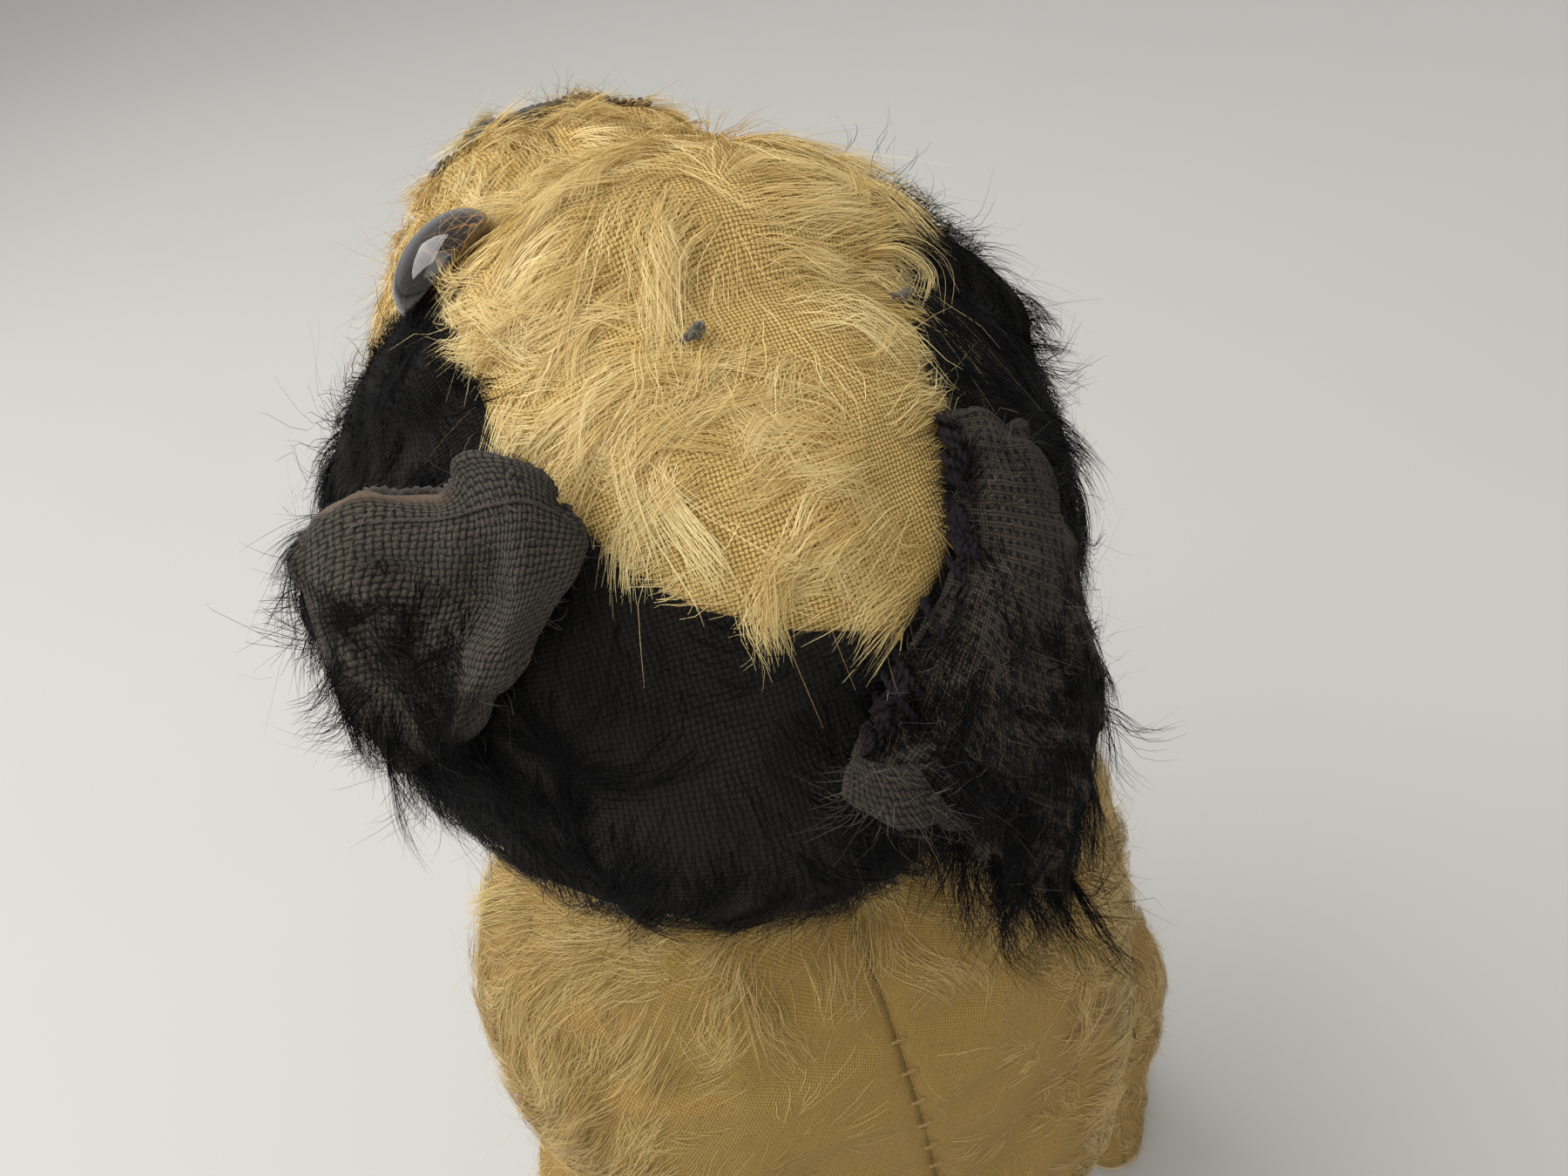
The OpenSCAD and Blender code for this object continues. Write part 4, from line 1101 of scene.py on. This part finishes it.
TORN_CORNER = (
    ((147, 0, 5), (147, -2, 8), (148, -5, 9)),
    ((149, 1.5, 6), (150, -2, 11), (151, -6, 11)),
    ((151, 0.5, 4), (153, -4, 9), (155, -8, 11)),
)
fold, _, _ = Flap(TORN_CORNER, 81, 24).sheet("ear_right_fold", 0, 1.1, 5)
frizzed("ear_right_fold_frizz", fold, 82, 0.9, 3.5,
        lambda co: drift(co, 3, 83, (1, 1, 0)) + np.array((0, 0.2, -0.5)), 0.6)
thicken(fold, 0.8)
place_piece(fold, "head", "black_mohair", FOLD_CLOTH)

knots = []
for phi, s, size, seed in ((91.5, -1.5, 0.95, 5), (90.5, -35.5, 0.7, 6)):
    left = head_world(np.array((1.0, 0, 0)))
    knots.append(tangle(on_head(phi, s, 1.2), head_ray(phi, s), left, size, seed, 4))
head_thread("crown_knots", knots, KNOT_THREAD, "thread_knots", radius=0.42, plies=2, pitch=1.8)


LOCK_STEPS = 22
LOOSE_HAIR = 0.09


def lock(name, points, count, spread, curl, seed, material=BLACK_HAIR, slot="black_mohair"):
    """A loose lock of hair that follows the points from its root to its tip."""
    rng = np.random.default_rng(seed)
    line = curve(points, LOCK_STEPS)
    t = np.linspace(0, 1, LOCK_STEPS)
    along = unit(np.gradient(line, axis=0))
    x = unit(np.cross(along, (0.3, 0.8, 0.5)))
    y = np.cross(along, x)
    out = 0.35 + t * 0.9
    paths = []
    for _ in range(count):
        a, b = rng.normal(0, spread, 2) * MM
        wave = rng.uniform(0, 6.28, 2)
        size = rng.uniform(0.4, 1.0) * curl * MM
        f = t * rng.uniform(0.75, 1.0) * (LOCK_STEPS - 1)
        base = np.stack([np.interp(f, np.arange(LOCK_STEPS), line[:, k]) for k in range(3)], 1)
        paths.append(base + x * (a * out + size * t * np.sin(5 * t + wave[0]))[:, None]
                     + y * (b * out + size * t * np.cos(4 * t + wave[1]))[:, None])
    paths = np.array(paths)
    own = rng.normal(0, 0.12, count)
    hair = ribbons(name, paths, paths[:, 0] - HEAD_CENTRE, np.full(count, LOOSE_HAIR), own)
    place_piece(hair, "head", slot, material)


def from_head(*places):
    return np.array([on_head(*place) for place in places])


DOWN = np.array((0.10, 0.20, -0.97))
tip = on_head(133, 52, 7)
lock("wisp_left", [tip + (DOWN * fall + (aside, 0, 0)) * MM
                   for fall, aside in ((0, 0), (6, 1), (13, 1.5), (20, 0.5))], 26, 0.35, 0.7, 91)
lock("loop_right", from_head((82, -32, 1), (83.5, -36, 3.5), (89, -38.5, 4), (94.5, -36.5, 2)),
     44, 1.1, 0.3, 92, GOLD_HAIR, "gold_mohair")
for k in range(6):
    start = right_flap.co[int((0.35 + 0.12 * k) * (right_flap.n - 1)), -2]
    fall = unit(np.array((0.30 - 0.10 * k, 0.42, -0.80)))
    hook = np.array((2.0 - (k % 3) * 2.5, 1.5, -0.5))
    reach = 13 + 2.5 * (k % 3)
    lock("fringe_right_%d" % k, [start, start + fall * reach * 0.4 * MM,
                                 start + fall * reach * 0.75 * MM,
                                 start + (fall * reach + hook) * MM], 42, 0.9, 1.6, 93 + k)
LEAN = np.array((0.0, -0.6, 0.5))
for k, (phi, s, tall) in enumerate(((64, -38, 7), (66, -41, 6), (72, -44, 6.5), (60, -34, 6))):
    a = on_head(phi, s, -0.5)
    out = unit(a - HEAD_CENTRE)
    lock("stray_%d" % k, [a, a + (out * tall * 0.5) * MM,
                          a + (out * tall * 0.8 + LEAN * tall * 0.4) * MM,
                          a + (out * tall * 0.9 + LEAN * tall) * MM], 3, 0.8, 2.2, 99 + k)


# For each eye: the s of its socket and how deep it sits in the plush, in mm.
EYES = {"left": (32, 2.5), "right": (-37, 3.6)}
EYE_PHI = 37


def glass_eye(word, s, depth):
    """A glass dome over a painted back, in place of the plain CAD eye."""
    node = "eye_" + word
    axis = head_ray(EYE_PHI, s)
    co = co_of(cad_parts[node].data)
    centre = co.mean(0)
    base = centre + axis * (np.min(co @ axis) - centre @ axis) - axis * depth * MM
    off = co - centre - axis * ((co - centre) @ axis)[:, None]
    r = float(np.max(np.linalg.norm(off, axis=1))) / MM
    turns = np.linspace(0, math.pi / 2, 22)
    dome = [(r * math.cos(t), 1.4 + (r * 0.62) * math.sin(t)) for t in turns]
    rim = [(r - 0.9, 0.35), (r - 0.35, 0.6), (r - 0.05, 1.0)]
    glass = lathe(node + "_glass", [(0, 0.9), (r * 0.5, 0.72)] + rim + dome, base, axis)
    place_piece(glass, "head", "eye_glass", EYE_GLASS, node)
    back = [(0, 0), (r - 1.0, 0), (r - 1.0, 0.26), (r * 0.5, 0.64), (0, 0.82)]
    paint = lathe(node + "_paint", back, base, axis)
    away = np.linalg.norm(np.cross(co_of(paint.data) - base, axis), axis=1) / MM
    float_attribute(paint.data, "ring", away / (r - 1.0))
    place_piece(paint, "head", "eye_glass", EYE_PAINT)


for word, socket in EYES.items():
    glass_eye(word, *socket)


# ---- torso ----

def round_axis(co, centre):
    """The angle of each point round an upright axis, 0 at the back and positive to the left."""
    return np.arctan2(co[:, 0] - centre[0], co[:, 1] - centre[1])


def cloth_round(ob, centre, radius):
    co = co_of(ob.data)
    turn, z = round_axis(co, centre), co[:, 2]
    across, along = turn * radius * 0.8 + z * 0.5, z - turn * radius * 0.35
    cloth_attribute(ob.data, np.stack([across, along, z * 0], 1))


def torso_density(co):
    turn = np.degrees(round_axis(co, BODY_AXIS))
    turn = np.where(turn > 0, turn, -turn + 15)
    z = co[:, 2] / MM
    ragged = waves(co, 14 * MM, 41)
    bald = 1 - smooth(turn + 10 * ragged, 30, 56)
    bald = bald * smooth(z, 78, 92) * (1 - smooth(z + 7 * ragged, 196, 206))
    joints = 1
    for node in ("shoulder_discs_body", "hip_discs_body"):
        lo, hi = box_of(node)
        mid = (lo + hi) / 2
        d = np.stack([np.abs(co[:, 0]) - hi[0] * 0.85, co[:, 1] - mid[1], co[:, 2] - mid[2]], 1)
        joints = np.minimum(joints, smooth(np.linalg.norm(d, axis=1), 17 * MM, 24 * MM))
    return np.clip(1 - 0.90 * bald, 0.10, 1) * joints * (1 - smooth(z, 211, 215))


def torso_length(co):
    turn = np.degrees(np.abs(round_axis(co, BODY_AXIS))) + 12 * waves(co, 20 * MM, 44)
    full = np.maximum(smooth(turn, 18, 50), smooth(co[:, 2] / MM, 186, 202))
    return (5 + 9 * full) * MM


def torso_swell(co):
    """The left shoulder blade is fuller than the right."""
    turn = np.degrees(round_axis(co, BODY_AXIS))
    z = co[:, 2] / MM
    tall = smooth(z, 110, 160) * (1 - smooth(z, 196, 213))
    left = smooth(turn, 12, 50) * (1 - smooth(turn, 90, 118))
    right = smooth(-turn, 12, 50) * (1 - smooth(-turn, 90, 118))
    return tall * (4.4 * left + 0.8 * right)


def torso_nap(co):
    turn = round_axis(co, BODY_AXIS)
    out = np.stack([np.cos(turn), -np.sin(turn), 0 * turn], 1) * np.sign(co[:, :1])
    drop = np.array((0, 0, -1.0)) * (0.8 + 0.4 * waves(co, 30 * MM, 42))[:, None]
    return drop + out * (0.75 + 0.7 * waves(co, 34 * MM, 43))[:, None]


TORSO = ["torso_left", "torso_right"]
# For the back and the front: the seed of the hair and the most hairs per square mm.
TORSO_COATS = {"back": (41, 1.38), "front": (45, 1.0)}
TORSO_NECK = (-0.03, -0.02, 0.2135), (0.03, 0.04, 0.22)
form, seams, marks = stuffed("torso_form", TORSO, "torso_stuffing", *TORSO_NECK, puff=2.0,
                             swell=torso_swell)
TORSO_SKIN = surface_tree(form.data)
skins = cut_panels(form, seams, marks, [node + "_skin" for node in TORSO], 1.0)
for k, (ob, node) in enumerate(zip(skins, TORSO)):
    cloth_round(ob, BODY_AXIS, 60 * MM)
    for part, (seed, most) in TORSO_COATS.items():
        def density(co):
            return torso_density(co) * most * ((co[:, 1] > BODY_AXIS[1]) == (part == "back"))

        grow(node + "_mohair_" + part, ob, Pile(
            seed + k, density, torso_length, torso_nap, "torso", "gold_mohair_body", BODY_HAIR,
            lift=0.28, curl=1.0, fly=0.05))
    thicken(ob)
    place_piece(ob, "torso", "gold_mohair_body", BODY_CLOTH, node)


def rods(node):
    """The middle, direction and half length of each loose part of a CAD node."""
    bm = bmesh.new()
    bm.from_mesh(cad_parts[node].data)
    bmesh.ops.remove_doubles(bm, verts=bm.verts, dist=0.001 * MM)
    found, seen = [], set()
    for v in bm.verts:
        if v in seen:
            continue
        part, queue = [], [v]
        seen.add(v)
        while queue:
            w = queue.pop()
            part.append(w.co[:])
            for e in w.link_edges:
                o = e.other_vert(w)
                if o not in seen:
                    seen.add(o)
                    queue.append(o)
        part = np.array(part)
        mid = part.mean(0)
        way = np.linalg.svd(part - mid)[2][0]
        found.append((mid, way, np.abs((part - mid) @ way).max()))
    bm.free()
    return sorted(found, key=lambda f: -f[0][2])


seam = []
for mid, way, half in rods("back_stitching"):
    hit, out = TORSO_SKIN.find_nearest(Vector(mid))[:2]
    hit, out = np.array(hit), np.array(out)
    way = way * np.sign(way[0])
    t = np.linspace(-1, 1, 14)[:, None]
    seam.append(hit + way * t * half * 0.5 + out * (0.10 + 0.2 * (1 - t ** 2)) * MM)
back_thread = cords("back_thread", seam, radius=0.26, plies=2, pitch=1.6)
place_piece(back_thread, "torso", "gold_thread", GOLD_THREAD, "back_stitching")


# ---- limbs ----

ARM_FACE = np.array((0.643, -0.766, 0.0))
LEG_FACE = np.array((1.0, 0.0, 0.0))


def limb(body, side):
    """An arm or a leg: two furred halves and a felt pad; side is 1 on the left, -1 on the right."""
    arm = body.startswith("arm")
    nodes = [body + "_outer", body + "_inner"]
    pad = body + ("_pad" if arm else "_sole")
    boxes = np.array([box_of(node) for node in nodes])
    centre = (boxes[:, 0].min(0) + boxes[:, 1].max(0))[:2] / 2
    joint = sum(box_of(body + "_disc")) / 2
    face = (ARM_FACE if arm else LEG_FACE) * (side, 1, 1)
    pad_lo, pad_hi = box_of(pad)
    form, seams, marks = stuffed(body + "_form", nodes, body + "_stuffing", pad_lo - 2 * MM,
                                 pad_hi + 2.5 * MM, puff=1.2)

    def density(co):
        off = co - joint
        flat = off @ face
        radial = np.linalg.norm(off - flat[:, None] * face, axis=1)
        turned = np.maximum(smooth(flat, 0.5 * MM, 5 * MM), smooth(radial, 15 * MM, 20 * MM))
        gap = np.linalg.norm(np.maximum(np.maximum(pad_lo - co, co - pad_hi), 0), axis=1)
        low = smooth(gap, 0.5 * MM, 3 * MM) if arm else smooth(co[:, 2], 3.5 * MM, 7 * MM)
        return 1.5 * turned * low

    def length(co):
        return (4 + (4 if arm else 5) * smooth((co - joint) @ face, 1 * MM, 8 * MM)) * MM

    def nap(co):
        return np.array((0.0, -0.25, -1.0)) + drift(co, 20, 51, (1, 1, 0), 0.5)

    skins = cut_panels(form, seams, marks, [node + "_skin" for node in nodes])
    for k, (ob, node) in enumerate(zip(skins, nodes)):
        clear_of(ob, body + "_stuffing")
        cloth_round(ob, centre, 18 * MM)
        seed = 50 + len(body) + k + 4 * (side > 0)
        grow(node + "_mohair", ob, Pile(seed, density, length, nap, body, "gold_mohair_body",
                                        BODY_HAIR, lift=0.34, curl=0.9, sink=25.0))
        thicken(ob)
        place_piece(ob, body, "gold_mohair_body", BODY_CLOTH, node)
    soft_pad(pad, body)


COVER_GAP = 1.6 * MM
COVER_GAP_FROM = 6 * MM


def clear_of(ob, core):
    """Moves a cover out where it is nearer than COVER_GAP to its filling, above the sole's seam."""
    inner = node_tree(core)
    co = co_of(ob.data)
    for i in np.where(co[:, 2] > COVER_GAP_FROM)[0]:
        hit, out = inner.find_nearest(Vector(co[i]))[:2]
        need = COVER_GAP - (Vector(co[i]) - hit).dot(out)
        if need > 0:
            co[i] += np.array(out) * need
    set_co(ob.data, co)


def soft_pad(node, body):
    """A felt pad with rounded edges, from its plain solid."""
    ob = new_object(node + "_felt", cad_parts[node].data.copy())
    voxel_remesh(ob, 0.45 * MM)
    mod = ob.modifiers.new("Smooth", "SMOOTH")
    mod.factor = 0.5
    mod.iterations = 3
    bake_modifiers(ob)
    place_piece(ob, body, "felt", PAD_FELT, node)


for side, word in ((1, "left"), (-1, "right")):
    limb("arm_" + word, side)
    limb("leg_" + word, side)


# ---- camera, light and floor ----

def aim(ob, place, forward, up):
    f = Vector(forward).normalized()
    u = Vector(up)
    x = f.cross(u).normalized()
    u = x.cross(f)
    ob.matrix_world = Matrix.Translation(Vector(place)) @ Matrix((x, u, -f)).transposed().to_4x4()


def new_light(name, place, target, size, power, colour):
    ob = new_object(name, bpy.data.lights.new(name, "AREA"))
    ob.data.size = size
    ob.data.energy = power
    ob.data.color = colour
    aim(ob, place, Vector(target) - Vector(place), (0, 0.3, 1))


CAMERA_PLACE = (0.02293, 0.15943, 0.36746)
CAMERA_FORWARD = (-0.1615, -0.7587, -0.6311)
CAMERA_UP = (-0.3603, -0.5501, 0.7534)
camera = new_object("camera", bpy.data.cameras.new("camera"))
camera.data.lens = 28.39
camera.data.sensor_width = 36
camera.data.clip_start = 0.01
aim(camera, CAMERA_PLACE, CAMERA_FORWARD, CAMERA_UP)
SCENE.camera = camera

new_light("window", (0.87, -0.31, 1.535), (0, 0, 0.22), 1.5, 27.5, (1.0, 0.99, 0.96))
new_light("room", (0.6, 0.9, 1.3), (0, 0, 0.15), 1.3, 7.5, (1.0, 0.99, 0.97))
world = bpy.data.worlds.new("studio")
world.use_nodes = True
sky = world.node_tree.nodes["Background"]
sky.inputs["Color"].default_value = (1.0, 0.985, 0.96, 1)
sky.inputs["Strength"].default_value = 0.56
SCENE.world = world
SCENE.view_settings.view_transform = "Standard"


FLOOR_HALF = 7
FLOOR_CELLS = 40


def floor_sheet():
    n = FLOOR_CELLS
    x, y = np.meshgrid(*[np.linspace(-FLOOR_HALF, FLOOR_HALF, n + 1)] * 2)
    co = np.stack([x.ravel(), y.ravel(), 0 * x.ravel()], 1)
    i = np.arange(n * n) // n * (n + 1) + np.arange(n * n) % n
    ob = mesh_object("floor", co, np.stack([i, i + 1, i + n + 2, i + n + 1], 1))
    m = Nodes("pale_floor")
    tone = m.mix(m.noise(3.0), (0.50, 0.495, 0.48), (0.54, 0.535, 0.52))
    dress(ob, m.finish(Base_Color=tone, Roughness=0.75))
    ob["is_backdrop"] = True


floor_sheet()

shown_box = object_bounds()
